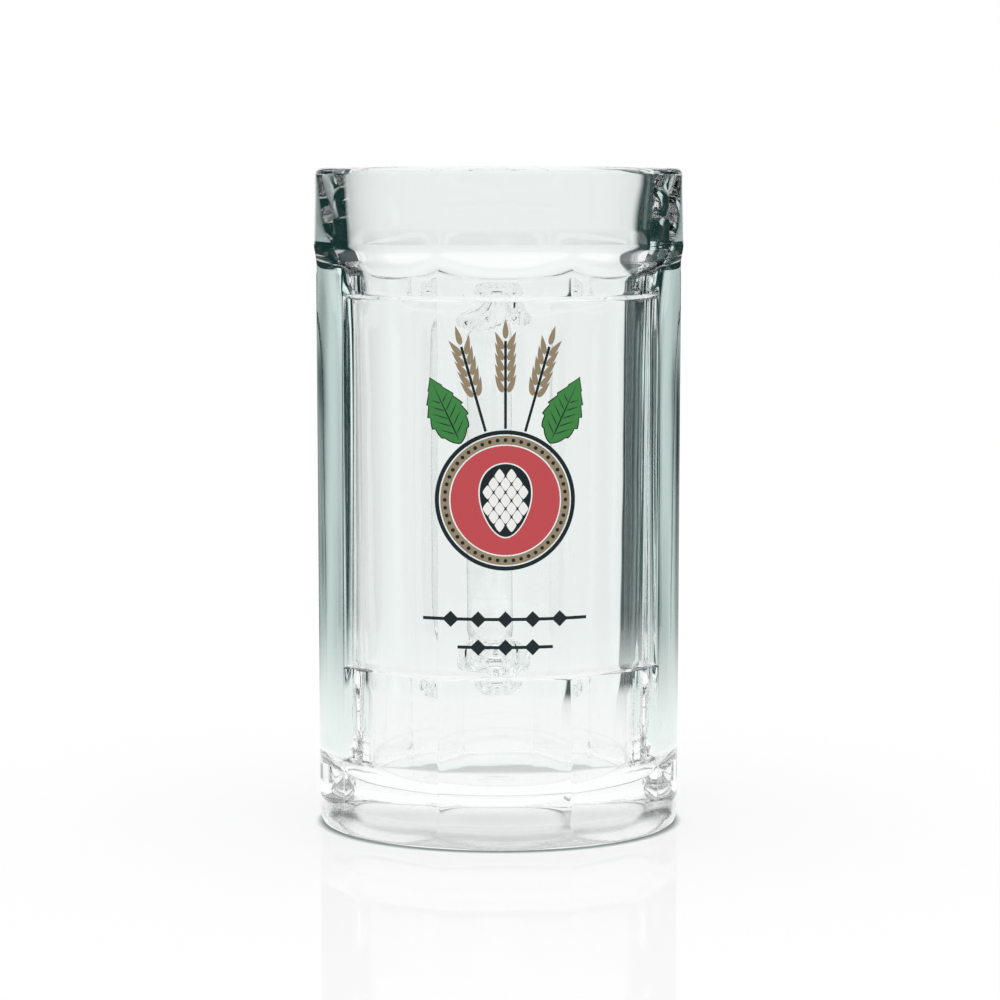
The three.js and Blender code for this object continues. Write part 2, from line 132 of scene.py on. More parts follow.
class MugBodySizes(bpy.types.PropertyGroup):
    """Sizes of the pressed glass body"""

    height: length("Height", "From the table to the rim", BODY_TOP / MM)
    flat: length("Flat distance", "From the axis to the middle of a flat", 35.8)
    ridge_round: length("Ridge rounding", "Rounding where two flats meet", 0.3)
    column: length("Column radius", "From the axis to the crest of a side column", 41.7)
    column_taper: length("Column taper", "How much lower a column is at its foot", 0.4)
    foot_rise: length("Foot rise", "How far the round foot stands out past the flats", 4.4)
    foot_height: length("Foot height", "Height over which flats and columns run out into the foot", 5)
    foot_round: length("Foot rounding", "Rounding of the edge the mug stands on", 0.5)
    collar_rise: length("Collar rise", "How far the collar stands out past the flats", 5)
    collar_step: length("Collar step", "How far a column stands out further on the collar", 0.55)
    collar_draft: length("Collar draft", "How much narrower the collar is at the rim", 0.4)
    collar_height: length("Collar height", "From the rim down to the widest place of the collar", 17)
    collar_drop: length("Collar drop", "Height of the sloping underside of the collar", 8.5)
    collar_round: length("Collar rounding", "Rounding where the collar leaves the flats", 2.5)
    lip_outer: length("Outer lip", "Rounding of the rim outside", 1.4)
    lip_inner: length("Inner lip", "Rounding of the rim inside", 2)
    label_rise: length("Label rise", "How far the label field stands out past a flat", 2.1)
    label_bottom: length("Label bottom", "Height of the label field's lower edge", 38.4)
    label_margin: length("Label margin", "From the collar's foot down to the label field", 4)
    label_ledge: length("Label ledge", "Height of the sloping ledge above and below the label field", 1.3)
    label_fade: in_degrees("Label fade", "Angle over which the label field runs out at its sides", 4.5)
    groove: length("Groove", "Depth of the groove between the label field and a column, at its top", 2.2)
    groove_taper: length("Groove taper", "How much shallower the groove is at the label's foot", 0.9)
    groove_seat: in_degrees("Groove seat", "From a column's ridge to the groove's deepest line", 2.6)
    groove_inner: in_degrees("Groove inner side", "Width of the groove towards the label field", 4)
    groove_outer: in_degrees("Groove outer side", "Width of the groove towards the column", 2)
    groove_curve: plain_number("Groove curve", "How hollow the sides of the groove are", 1.3)
    groove_run_in: length("Groove run-in", "Height over which the groove starts, below the label field", 12)
    groove_run_out: length("Groove run-out", "Height over which the groove ends, below the collar", 5)
    bore: length("Bore radius", "Inside radius at the foot of the collar", 33.4)
    bore_taper: length("Bore taper", "How much narrower the bore is at the floor", 0.8)
    mouth_flare: length("Mouth flare", "How much wider the bore is at the rim", 2.5)
    mouth_height: length("Mouth height", "How far down from the rim the bore opens out", 26)
    floor: length("Floor thickness", "Glass under the drink", 10.5)
    floor_corner: length("Floor corner", "Rounding between floor and wall", 6)
    ripple: length("Ripple", "How wavy the pressed inside is", 0.05)
    ripple_height: length("Ripple height", "Half the height of one such wave", 30)
    ripple_fade: length("Ripple fade", "Height over which the waves die out below the rim", 8)
    streak: length("Streak", "How wavy the side columns are", 0.03)
    streak_pitch: length("Streak pitch", "Half the width of one such wave", 2.5)
    streak_height: length("Streak height", "Half the height of one such wave", 150)
    streak_fade: in_degrees("Streak fade", "Angle over which the waves die out beside a ridge", 4)
    streak_run_in: length("Streak run-in", "Height over which the waves start, above the foot", 12)
    streak_run_out: length("Streak run-out", "Height over which the waves end, below the collar", 8)


class MugHandleSizes(bpy.types.PropertyGroup):
    """Sizes of the glass handle"""

    drop: length("Drop", "From the rim down to the middle of the upper root", 33)
    span: length("Span", "Between the middles of the two roots", 85)
    reach: length("Reach", "From the back flat to the middle of the grip, at the top", 35.95)
    tuck: length("Tuck", "How much nearer the grip is at the bottom", 5)
    bend: length("Bend", "Size of the two bends", 24)
    grip_width: length("Grip width", "Width of the grip", 17)
    grip_depth: length("Grip depth", "Depth of the grip", 11)
    root_width: length("Root width", "Width of a root where it meets the flat", 19.5)
    root_height: length("Root height", "Height of a root where it meets the flat", 12.5)
    root_flare: length("Root flare", "Length over which a root widens", 12)
    root_curve: plain_number("Root curve", "How suddenly a root widens", 2.2)
    root_margin: length("Root margin", "Strip of the back flat that is meshed anew round a root", 1.5)
    fullness: plain_number("Fullness", "Shape of the section: 2 is an ellipse, more is fuller", 2.3)
    sides: how_many("Sides", "Points round the handle", 56, 12)


class MugPrintSizes(bpy.types.PropertyGroup):
    """Sizes of the enamel print"""

    gap: length("Gap", "Between glass and ink", 0.1)
    ink: length("Ink", "Thickness of the fired enamel", 0.2)
    backing: plain_number("Backing", "Share of the ink that lies under a motif", 0.5)
    lift: length("Lift", "Air between a backing and the motif on it", 0.005)
    fine_lift: length("Fine lift", "Air under the finest lines and beads", 0.002)
    fine_ink: length("Fine ink", "How far the finest lines and beads stand above the ink", 0.03)
    radius: length("Medallion radius", "Outside of the dark ring", 15.4)
    keyline: length("Keyline", "Width of the dark ring", 0.9)
    band: length("Band", "Width of the pale ring", 1.9)
    space: length("Space", "Bare glass between two colours", 0.3)
    beads: how_many("Beads", "Beads round the pale ring", 48)
    bead: plain_number("Bead", "Radius of a bead as a share of the pale ring's width", 0.22)
    cone_height: length("Cone height", "Height of the hop cone", 16)
    cone_width: length("Cone width", "Width of the hop cone", 11)
    cone_taper: plain_number("Cone taper", "How much wider the cone is near its top", 0.22)
    bract_width: length("Bract width", "Between two scales of the cone, across", 2.6)
    bract_height: length("Bract height", "Between two scales of the cone, upwards", 3.6)
    bract_fill: plain_number("Bract fill", "Half of a scale as a share of that distance", 0.42)
    bract_bulge: plain_number("Bract bulge", "Shape of a scale: 2 is a diamond, 1 is round", 1.6)
    leaf_length: length("Leaf length", "Length of a hop leaf", 15.5)
    leaf_width: length("Leaf width", "Width of a hop leaf", 8.4)
    leaf_teeth: how_many("Leaf teeth", "Teeth along a leaf's side", 6)
    saw_depth: plain_number("Saw depth", "How deep the teeth are cut, as a share", 0.16)
    leaf_seat: in_degrees("Leaf seat", "Where a leaf starts on the ring", 38)
    leaf_lean: in_degrees("Leaf lean", "How far a leaf leans out", 25)
    vein_pairs: how_many("Vein pairs", "Pairs of side veins", 5)
    outline: length("Outline", "Width of the dark line round a leaf", 0.28)
    ear_length: length("Ear length", "Length of a barley ear with its stalk", 24)
    ear_spread: in_degrees("Ear spread", "Angle between two ears", 16)
    bare_stalk: plain_number("Bare stalk", "Share of the ear without kernels", 0.33)
    stalk_end: plain_number("Stalk end", "Share of the ear that the stalk reaches up", 0.8)
    stalk: length("Stalk", "Width of a stalk", 0.6)
    kernel_length: length("Kernel length", "Length of one kernel", 4.4)
    kernel_width: length("Kernel width", "Width of one kernel", 1.3)
    kernel_lean: in_degrees("Kernel lean", "How far a kernel leans out", 24)
    kernel_aside: plain_number("Kernel aside", "From the stalk to a kernel, in kernel widths", 0.42)
    kernel_pairs: how_many("Kernel pairs", "Pairs of kernels on an ear", 5)
    lozenge: length("Lozenge", "Length of a lozenge on a rule", 3.6)
    lozenge_pitch: length("Lozenge pitch", "Between two lozenges", 6)
    rule: length("Rule", "Width of a rule", 0.7)


class MugColours(bpy.types.PropertyGroup):
    """Colours of glass and enamel"""

    glass: colour("Glass", "Tint of the clear glass", (0.98, 0.992, 0.988))
    black: colour("Black", "Dark enamel", (0.012, 0.024, 0.028))
    white: colour("White", "White enamel", (0.88, 0.88, 0.85))
    red: colour("Red", "Red enamel", (0.56, 0.07, 0.08))
    green: colour("Green", "Green enamel", (0.05, 0.25, 0.06))
    tan: colour("Tan", "Tan enamel", (0.31, 0.24, 0.15))


class MugStage(bpy.types.PropertyGroup):
    """Studio and camera"""

    distance: length("Distance", "From the camera to the mug's axis", 768)
    eye: length("Eye height", "Height of the camera", 142)
    aim: length("Aim height", "Height that the camera looks at", 74)
    aim_aside: length("Aim aside", "How far beside the axis the camera looks", 0.27)
    lens: FloatProperty(name="Lens", description="Focal length in mm", default=120.7, unit="CAMERA")
    azimuth: in_degrees("Azimuth", "Turn of the camera round the mug", -2.2)
    bounces: how_many("Bounces", "How often light may bend or bounce in the glass", 24)
    lamp_size: length("Lamp size", "Side of the square lamp above the mug", 1200)
    lamp_height: length("Lamp height", "Height of the lamp above the floor", 1400)
    lamp_power: FloatProperty(name="Lamp power", description="Power of the lamp", default=1.5, unit="POWER")
    field: in_degrees("Field", "Middle of each bright field", -2)
    field_fade: in_degrees("Field fade", "Angle over which a field fades out", 9.5)
    field_light: plain_number("Field light", "Brightness in the middle of a field", 0.75)
    field_drift: plain_number("Field drift", "How far a field moves aside on the near floor", 0.25)
    field_spread: plain_number("Field spread", "How much wider a field is on the near floor", 1.1)
    flag: in_degrees("Flag", "Where a dark flag starts beside each field", 29.5)
    flag_width: in_degrees("Flag width", "How wide a flag is", 20)
    flag_fade: in_degrees("Flag fade", "Angle over which a flag begins and ends", 4)
    panel: in_degrees("Panel", "Where the light panel starts on the left", -8)
    panel_fade: in_degrees("Panel fade", "Angle over which the panel begins", 8)
    panel_light: plain_number("Panel light", "Brightness of the panel", 1.0)
    sky: in_degrees("Sky", "Height from which the sky is bright", 8)
    sky_fade: in_degrees("Sky fade", "Angle over which the bright sky begins", 6)
    sky_light: plain_number("Sky light", "How bright the sky shows in a glass edge", 1.0)
    top: in_degrees("Top", "Height from which the sky still shows after more reflections", 18)
    top_fade: in_degrees("Top fade", "Angle over which that part begins", 8)
    top_light: plain_number("Top light", "How bright that part shows in a glass edge", 0.1)
    mirror: plain_number("Mirror", "How bright the room shows in a reflection", 0.03)
    mirror_back: in_degrees("Mirror back", "Half the width of the white wall behind, in a reflection", 14)
    mirror_back_fade: in_degrees("Mirror back fade", "Angle over which that wall ends", 10)
    mirror_sky: in_degrees("Mirror sky", "Height from which the sky is white in a reflection", 25)
    mirror_sky_fade: in_degrees("Mirror sky fade", "Angle over which that sky begins", 15)
    floor_size: length("Floor size", "From the mug to the edge of the floor", 6000)
    floor_gap: length("Floor gap", "Between the floor and the foot", 0.15)
    polish: plain_number("Polish", "Share of the mug that the floor mirrors", 0.16)
    polish_blur: plain_number("Polish blur", "Roughness of that mirror image", 0.03)
    under: length("Under", "How far the floor under the mug stays white in a glass edge", 48)
    under_end: length("Under end", "Where that white ends", 96)
    near: length("Near", "How far the floor round the mug stays pale", 120)
    near_end: length("Near end", "Where that pale ends in a glass edge", 390)
    far: length("Far", "Where the floor turns into the backdrop, seen through the glass", 300)
    shadow: length("Shadow", "How far the floor shows the mug's full shadow", 60)
    shadow_end: length("Shadow end", "Where the shadow ends", 480)
    shadow_white: plain_number("Shadow white", "Share of plain white mixed into the shadow", 0.5)
    flat_view: in_degrees("Flat view", "Only rays flatter than this see the fields in the floor", 13)
    flat_view_fade: in_degrees("Flat view fade", "Half the angle over which they begin to", 1.5)
    # Painted contact shadow: width and colour of a dark ring painted on the floor round the foot
    contact: length("Contact", "Width of the shade where the foot meets the floor", 2.5)
    shade: colour("Shade", "Floor right at the foot", (0.25, 0.3, 0.29))
    backdrop: colour("Backdrop", "Backdrop as the glass shows it", (0.975, 0.998, 0.992))
    ground: colour("Ground", "Floor round the mug as the glass shows it", (0.96, 0.96, 0.96))
    shallow: colour("Shallow", "Floor round the mug as the side columns show it", (0.82, 0.90, 0.87))
    tint: colour("Tint", "Bright fields as glass edges show them", (0.84, 1.0, 0.965))
    dark: colour("Dark", "Dark between the bright fields, as glass edges show it", (0.006, 0.032, 0.030))


def sizes(group):
    """The scene's settings of that name."""
    return getattr(bpy.context.scene, group)


def unit(value):
    """The value, kept between 0 and 1."""
    return min(max(value, 0.0), 1.0)


def ease(value):
    """A ramp from 0 to 1 with soft ends."""
    value = unit(value)
    return value * value * (3 - 2 * value)


def slope(value, bend=0.25):
    """An even ramp from 0 to 1, rounded off over a share of it at either end."""
    value = unit(value)
    foot = min(value, 1 - value)
    if foot > bend:
        return (value - bend / 2) / (1 - bend)
    low = foot * foot / (2 * bend * (1 - bend))
    return low if value < 0.5 else 1 - low


def smooth_min(a, b, soft):
    """The smaller of two values, rounded over where they meet."""
    near = max(soft - abs(a - b), 0.0) / soft
    return min(a, b) - near * near * soft / 4


class MugShape:
    """Radii of the mug's body, in metres."""

    def __init__(self, s):
        self.s = s
        self.foot = s.flat + s.foot_rise
        self.label = s.flat + s.label_rise
        self.collar_z = s.height - s.collar_height
        self.collar_foot_z = self.collar_z - s.collar_drop
        self.label_top = self.collar_foot_z - s.label_margin
        self.ridge = 1.5 * EIGHTH
        self.groove_middle = self.ridge - s.groove_seat

    def label_share(self, angle, z):
        """How far the label field is raised, from 0 to 1."""
        s = self.s
        side = (self.ridge - abs(angle)) / s.label_fade
        low = (z - s.label_bottom + s.label_ledge) / s.label_ledge
        high = (self.label_top + s.label_ledge - z) / s.label_ledge
        return ease(min(side, low, high))

    def collar_share(self, z):
        """How far the collar is raised, from 0 to 1."""
        return slope((z - self.collar_foot_z) / self.s.collar_drop)

    def collar_draft(self, z):
        """How much the collar has narrowed on its way to the rim."""
        return self.s.collar_draft * unit((z - self.collar_z) / self.s.collar_height)

    def front(self, angle, z):
        """Radius of the flats, the label field and the collar."""
        s = self.s
        share = self.label_share(angle, z)
        foot = unit(1 - z / s.foot_height) ** 2
        collar = s.flat + s.collar_rise * self.collar_share(z) - self.collar_draft(z)
        distance = s.flat + s.label_rise * share + s.foot_rise * foot
        limit = self.foot + (self.label - self.foot) * share
        off = angle - round(angle / EIGHTH) * EIGHTH
        side = EIGHTH - abs(off)
        radius = smooth_min(distance / math.cos(off), distance / math.cos(side), s.ridge_round)
        radius = smooth_min(radius, limit, s.ridge_round)
        return -smooth_min(-radius, -collar, s.collar_round)

    def groove(self, angle, z):
        """Depth of the groove beside the label field."""
        s = self.s
        aside = abs(angle) - self.groove_middle
        wide = s.groove_outer if aside > 0 else s.groove_inner
        across = unit(1 - abs(aside) / wide) ** s.groove_curve
        fall = unit((self.collar_foot_z - z) / (self.collar_foot_z - s.label_bottom))
        up = ease((z - s.label_bottom + s.groove_run_in) / s.groove_run_in)
        down = ease((self.collar_foot_z - z) / s.groove_run_out)
        return (s.groove - s.groove_taper * fall) * across * up * down

    def streak(self, angle, z):
        """Fine upright waves that pressing leaves on the side columns."""
        s = self.s
        aside = abs(abs(angle) - math.pi / 2)
        across = unit((EIGHTH / 2 - aside) / s.streak_fade)
        up = ease((z - s.foot_height) / s.streak_run_in)
        down = ease((self.collar_foot_z - z) / s.streak_run_out)
        spot = Vector((angle * s.column / s.streak_pitch, z / s.streak_height, STREAK_SEED))
        return s.streak * noise.noise(spot) * across * up * down

    def outer(self, angle, z):
        """Radius of the outside at an angle from the front and a height."""
        return self.plain(angle, z) - self.groove(angle, z) + self.streak(angle, z)

    def plain(self, angle, z):
        """Radius of the outside without grooves and streaks."""
        s = self.s
        aside = abs(angle) - math.pi / 2
        if abs(aside) >= EIGHTH / 2:
            return self.front(angle, z)
        below = unit(1 - z / s.foot_height)
        tapered = s.column - s.column_taper * unit(1 - z / self.collar_foot_z)
        standing = self.foot + (tapered - self.foot) * math.sqrt(1 - below ** 2)
        step = ease((z - self.collar_z + s.collar_drop / 2) / (s.collar_drop / 2))
        crest = standing + s.collar_step * step - self.collar_draft(z)
        ridge = self.front(self.ridge, z)
        centre = (crest ** 2 - ridge ** 2) / (2 * (crest - ridge * math.cos(EIGHTH / 2)))
        bulge = math.sqrt((crest - centre) ** 2 - (centre * math.sin(aside)) ** 2)
        return centre * math.cos(aside) + bulge


def ring_angles():
    """Angles round the mug from the front, close together beside each ridge."""
    fine = [0, 0.15, 0.35, 0.6, 0.9, 1.3, 1.9, 2.7, 3.7, 5, 6.5, 8]
    steps = fine + [9.75, 11.5, 13.25, 15, 16.9, 18.75, 20.6]
    side = 45
    angles = []
    for ridge in range(8):
        start = side * (ridge + 0.5) - 180
        angles += [start + step for step in steps] + [start + side / 2]
        angles += [start + side - step for step in reversed(steps[1:])]
    return sorted(math.radians((a + 180) % 360 - 180) for a in angles)


def spread(low, high, count):
    """Evenly spaced values from low to high, both included."""
    return [low + (high - low) * i / (count - 1) for i in range(count)]


def quarter(count):
    """Steps of a quarter round as (cosine, sine), leaving out its start."""
    turns = [i * math.pi / 2 / count for i in range(1, count + 1)]
    return [(math.cos(turn), math.sin(turn)) for turn in turns]


def outer_levels(shape):
    """Heights of the rings on the outside, close together where the shape bends."""
    s = shape.s
    windows = [z for pair in root_windows(s, sizes("mug_handle")) for z in pair]
    levels = spread(s.foot_round, s.foot_height, 13)
    levels += spread(s.foot_height, s.label_bottom - s.label_ledge, 7)
    levels += spread(s.label_bottom - s.label_ledge, s.label_bottom, 9)
    levels += spread(s.label_bottom, shape.label_top, 12)
    levels += spread(shape.label_top, shape.label_top + s.label_ledge, 9)
    levels += spread(shape.label_top + s.label_ledge, shape.collar_foot_z, 4)
    levels += spread(shape.collar_foot_z, shape.collar_z, 17)
    levels += spread(shape.collar_z, s.height - s.lip_outer, 7)
    merged = []
    for z in sorted(levels + windows):
        if not merged or z - merged[-1] > SAME:
            merged.append(z)
    return merged


def root_windows(s, h):
    """Heights between which the back flat is cut up round each root of the handle."""
    upper = s.height - h.drop
    margin = h.root_height / 2 + h.root_margin
    return [(z - margin, z + margin) for z in (upper - h.span, upper)]


def root_outline(h):
    """Outline of a root on the back flat, as (across, out) pairs."""
    return handle_section(h, h.root_width / 2, h.root_height / 2)


def handle_section(h, half_width, half_depth):
    """A rounded section, a little fuller than an ellipse."""
    points = []
    for i in range(h.sides):
        turn = i / h.sides * 2 * math.pi
        c, n = math.cos(turn), math.sin(turn)
        full = (abs(c) ** h.fullness + abs(n) ** h.fullness) ** (-1 / h.fullness)
        points.append((half_width * c * full, half_depth * n * full))
    return points


def ripple_at(s, angle, z):
    """Slow waves in the pressed inside, with finer ones half as high."""
    across, forth = RIPPLE_TURNS * math.cos(angle), RIPPLE_TURNS * math.sin(angle)
    spot = Vector((across, forth, z / s.ripple_height + RIPPLE_SEED))
    return s.ripple * (noise.noise(spot) + noise.noise(spot * RIPPLE_FINER) / 2)


def body_rings(shape, angles):
    """Rings of points from the middle of the base up the outside and down the inside to the floor."""
    s = shape.s
    rings = []

    def add(radius_at, z):
        """One ring, with its radius as a function of the angle."""
        radii = [radius_at(a) for a in angles]
        rings.append([(r * math.sin(a), -r * math.cos(a), z) for a, r in zip(angles, radii)])

    for share in (0.25, 0.5, 0.72, 0.88):
        add(lambda a, k=share: (shape.outer(a, 0) - s.foot_round) * k, 0.0)
    for c, n in [(1, 0)] + quarter(4)[:-1]:
        z = s.foot_round * (1 - c)
        add(lambda a, k=n, h=z: shape.outer(a, h) - s.foot_round * (1 - k), z)
    start = len(rings)
    levels = outer_levels(shape)
    for z in levels:
        add(lambda a, h=z: shape.outer(a, h), z)
    for c, n in quarter(7):
        z = s.height - s.lip_outer * (1 - n)
        add(lambda a, k=c, h=z: shape.outer(a, min(h, s.height - s.lip_outer)) - s.lip_outer * (1 - k), z)
    mouth = s.bore + s.mouth_flare + s.lip_inner
    add(lambda a: mouth, s.height)
    for c, n in quarter(9):
        add(lambda a, k=n: mouth - s.lip_inner * k, s.height - s.lip_inner * (1 - c))
    low = s.floor + s.floor_corner
    top = s.height - s.lip_inner

    def bore(z):
        """Radius of the inside between the floor's corner and the lip."""
        flare_z = s.height - s.mouth_height
        straight = s.bore - s.bore_taper * unit((flare_z - z) / (flare_z - low))
        rise = (z - flare_z) / (s.mouth_height - s.lip_inner)
        return straight - s.mouth_flare * smooth_min(-rise, 0.0, 1.0)

    for z in spread(top, low, 60)[1:]:
        fade = unit((top - z) / s.ripple_fade)
        add(lambda a, h=z, f=fade: bore(h) + f * ripple_at(s, a, h), z)
    narrow = s.bore - s.bore_taper
    for c, n in quarter(14):
        z = low - s.floor_corner * n
        add(lambda a, k=c, h=z: narrow - s.floor_corner * (1 - k) + k * ripple_at(s, a, h), z)
    for share in (0.8, 0.55, 0.3):
        add(lambda a, k=share: (narrow - s.floor_corner) * k, s.floor)
    return rings, start, levels


def grid_faces(rings, count, skipped=()):
    """Faces between neighbouring rings of points, apart from the skipped (ring, point) pairs."""
    faces = []
    for i in range(rings - 1):
        for j in range(count):
            if (i, j) in skipped:
                continue
            k = (j + 1) % count
            faces.append((i * count + j, i * count + k, (i + 1) * count + k, (i + 1) * count + j))
    return faces


def window_loop(rows, back, count):
    """Numbers of the points round a window in the back flat."""
    loop = [rows[0] * count + j for j in back]
    loop += [row * count + back[-1] for row in rows[1:-1]]
    loop += [rows[-1] * count + j for j in reversed(back)]
    loop += [row * count + back[0] for row in reversed(rows[1:-1])]
    return loop


def root_patch(s, h, middle, loop, verts):
    """Faces that fill a window round a root's outline, and whether each lies inside it; adds to verts."""
    root = [(x, middle + out) for x, out in root_outline(h)]
    flat = [Vector((verts[v][0], verts[v][2])) for v in loop] + [Vector(p) for p in root]
    first = len(loop)
    edges = [(i, (i + 1) % first) for i in range(first)]
    edges += [(first + i, first + (i + 1) % len(root)) for i in range(len(root))]
    made, _, triangles, origin, _, _ = delaunay_2d_cdt(flat, edges, [], 1, TOUCH)
    index = []
    for point, ids in zip(made, origin):
        if ids and ids[0] < first:
            index.append(loop[ids[0]])
        else:
            index.append(len(verts))
            verts.append((point.x, s.flat, point.y))
    faces = [tuple(index[v] for v in reversed(triangle)) for triangle in triangles]
    inside = [all(origin[v] and origin[v][0] >= first for v in triangle) for triangle in triangles]
    return faces, inside


def build_body(shape):
    """Closed glass body whose back flat carries the outlines of the handle's two roots."""
    s, h = shape.s, sizes("mug_handle")
    angles = ring_angles()
    count = len(angles)
    rings, start, levels = body_rings(shape, angles)
    verts = [point for ring in rings for point in ring]
    back = [j for j, a in enumerate(angles) if abs(math.pi - abs(a)) < BACK_WINDOW]
    back = sorted(back, key=lambda j: rings[start][j][0])
    strips = set(zip(back, back[1:])) | set(zip(back[1:], back))
    windows = []
    skipped = set()
    for low, high in root_windows(s, h):
        rows = [start + i for i, z in enumerate(levels) if low - SAME <= z <= high + SAME]
        windows.append(((low + high) / 2, rows))
        skipped |= {(row, j) for row in rows[:-1] for j in range(count) if (j, (j + 1) % count) in strips}
    faces = grid_faces(len(rings), count, skipped)
    seams = []
    for middle, rows in windows:
        patch, inside = root_patch(s, h, middle, window_loop(rows, back, count), verts)
        seams += [len(faces) + i for i, melted in enumerate(inside) if melted]
        faces += patch
    base, top = len(verts), len(verts) + 1
    verts += [(0.0, 0.0, 0.0), (0.0, 0.0, s.floor)]
    last = (len(rings) - 1) * count
    for j in range(count):
        k = (j + 1) % count
        faces.append((base, k, j))
        faces.append((top, last + j, last + k))
    under = [i for i, face in enumerate(faces) if max(verts[v][2] for v in face) < SAME / 10]
    return verts, faces, seams, under


def handle_path(s, h):
    """Points on the handle's centre line as (behind the flat, height)."""
    top = s.height - h.drop
    low = top - h.span
    near = h.reach - h.tuck

    def curve(a, b, c, steps):
        """A bend from a to c that leans towards b, without its end."""
        shares = [i / steps for i in range(steps)]
        return [a * (1 - t) ** 2 + b * 2 * t * (1 - t) + c * t ** 2 for t in shares]

    def line(a, b, steps):
        """A straight run from a to b, without its end."""
        return [a.lerp(b, i / steps) for i in range(steps)]

    upper = [Vector(p) for p in ((0, top), (h.reach - h.bend, top), (h.reach, top), (h.reach, top - h.bend))]
    lower = [Vector(p) for p in ((near, low + h.bend), (near, low), (near - h.bend, low), (0, low))]
    points = line(upper[0], upper[1], 14) + curve(*upper[1:], 40)
    points += line(upper[3], lower[0], 20)
    return points + curve(*lower[:3], 40) + line(lower[2], lower[3], 10) + [lower[3]]


def build_handle(s, h):
    """Closed loop handle, with a flat cap on the back flat at either end."""
    path = handle_path(s, h)
    run = [0.0]
    for a, b in zip(path, path[1:]):
        run.append(run[-1] + (b - a).length)
    verts = []
    for i, spot in enumerate(path):
        along = (path[min(i + 1, len(path) - 1)] - path[max(i - 1, 0)]).normalized()
        if i == 0:
            along = Vector((1, 0))
        if i == len(path) - 1:
            along = Vector((-1, 0))
        flare = unit(1 - min(run[i], run[-1] - run[i]) / h.root_flare) ** h.root_curve
        half_width = (h.grip_width + (h.root_width - h.grip_width) * flare) / 2
        half_depth = (h.grip_depth + (h.root_height - h.grip_depth) * flare) / 2
        for across, out in handle_section(h, half_width, half_depth):
            verts.append((across, s.flat + spot.x + along.y * out, spot.y - along.x * out))
    faces = grid_faces(len(path), h.sides)
    seams = [len(faces), len(faces) + 1]
    faces.append(tuple(reversed(range(h.sides))))
    faces.append(tuple(range(len(verts) - h.sides, len(verts))))
    return verts, faces, seams


def mesh_object(name, verts, faces, materials, picks=()):
    """A clean closed mesh piece at the origin; picks holds (face, material number) pairs."""
    mesh = bpy.data.meshes.new(name)
    mesh.from_pydata(verts, [], faces)
    for material in materials:
        mesh.materials.append(material)
    for face, number in picks:
        mesh.polygons[face].material_index = number
    close_up(mesh)
    mesh.shade_smooth()
    piece = bpy.data.objects.new(name, mesh)
    bpy.context.scene.collection.objects.link(piece)
    return piece


def close_up(mesh):
    """Drops loose points, turns every face outwards and stops if the mesh has an open edge."""
    shell = bmesh.new()
    shell.from_mesh(mesh)
    bmesh.ops.delete(shell, geom=[v for v in shell.verts if not v.link_faces], context="VERTS")
    bmesh.ops.recalc_face_normals(shell, faces=shell.faces)
    gaps = sum(not edge.is_manifold for edge in shell.edges)
    if gaps:
        raise RuntimeError(f"{mesh.name} has {gaps} open edges")
    shell.to_mesh(mesh)
    shell.free()


def settle(piece, slot_name, *nodes):
    """Hides the imported parts that the piece stands for and hangs it under the root body."""
    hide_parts(*nodes)
    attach(piece, "root")


class Wiring:
    """Adds nodes to a tree; values are sockets, numbers or colours."""

    def __init__(self, tree):
        self.nodes, self.links = tree.nodes, tree.links

    def plug(self, value, socket):
        """Links or sets an input."""
        if isinstance(value, bpy.types.NodeSocket):
            self.links.new(value, socket)
        elif socket.type == "RGBA":
            socket.default_value = (*value, 1)
        else:
            socket.default_value = value

    def math(self, operation, *values):
        """The result of one sum."""
        node = self.nodes.new("ShaderNodeMath")
        node.operation = operation
        for value, socket in zip(values, node.inputs):
            self.plug(value, socket)
        return node.outputs[0]

    def product(self, first, *others):
        """All values multiplied."""
        for other in others:
            first = self.math("MULTIPLY", first, other)
        return first

    def largest(self, first, *others):
        """The largest of the values."""
        for other in others:
            first = self.math("MAXIMUM", first, other)
        return first

    def rest(self, value):
        """What is missing to 1."""
        return self.math("SUBTRACT", 1.0, value)

    def at_most(self, value, count):
        """1 while a whole number is no larger than the count, else 0."""
        return self.math("LESS_THAN", value, count + 0.5)

    def more_than(self, value, count):
        """1 while a whole number is larger than the count, else 0."""
        return self.math("GREATER_THAN", value, count + 0.5)

    def reach(self, vector):
        """The length of a vector."""
        node = self.nodes.new("ShaderNodeVectorMath")
        node.operation = "LENGTH"
        self.plug(vector, node.inputs[0])
        return node.outputs["Value"]

    def height(self, vector):
        """The upright part of a vector."""
        node = self.nodes.new("ShaderNodeSeparateXYZ")
        self.plug(vector, node.inputs[0])
        return node.outputs["Z"]

    def blend(self, factor, first, second):
        """Two shaders mixed."""
        node = self.nodes.new("ShaderNodeMixShader")
        for value, socket in zip((factor, first, second), node.inputs):
            self.plug(value, socket)
        return node.outputs[0]

    def ramp(self, value, start, end, first=0.0, last=1.0):
        """A soft ramp from first to last while the value goes from start to end."""
        node = self.nodes.new("ShaderNodeMapRange")
        node.interpolation_type = "SMOOTHSTEP"
        names = ("Value", "From Min", "From Max", "To Min", "To Max")
        for name, setting in zip(names, (value, start, end, first, last)):
            self.plug(setting, node.inputs[name])
        return node.outputs["Result"]

    def mix(self, factor, first, second):
        """The first colour where the factor is 0, the second where it is 1."""
        node = self.nodes.new("ShaderNodeMix")
        node.data_type = "RGBA"
        self.plug(factor, node.inputs["Factor"])
        for name, value in (("A", first), ("B", second)):
            self.plug(value, next(i for i in node.inputs if i.name == name and i.type == "RGBA"))
        return next(o for o in node.outputs if o.type == "RGBA")


def new_material(name):
    """A node material and its shader."""
    material = bpy.data.materials.new(name)
    material.use_nodes = True
    shader = material.node_tree.nodes["Principled BSDF"]
    return material, shader


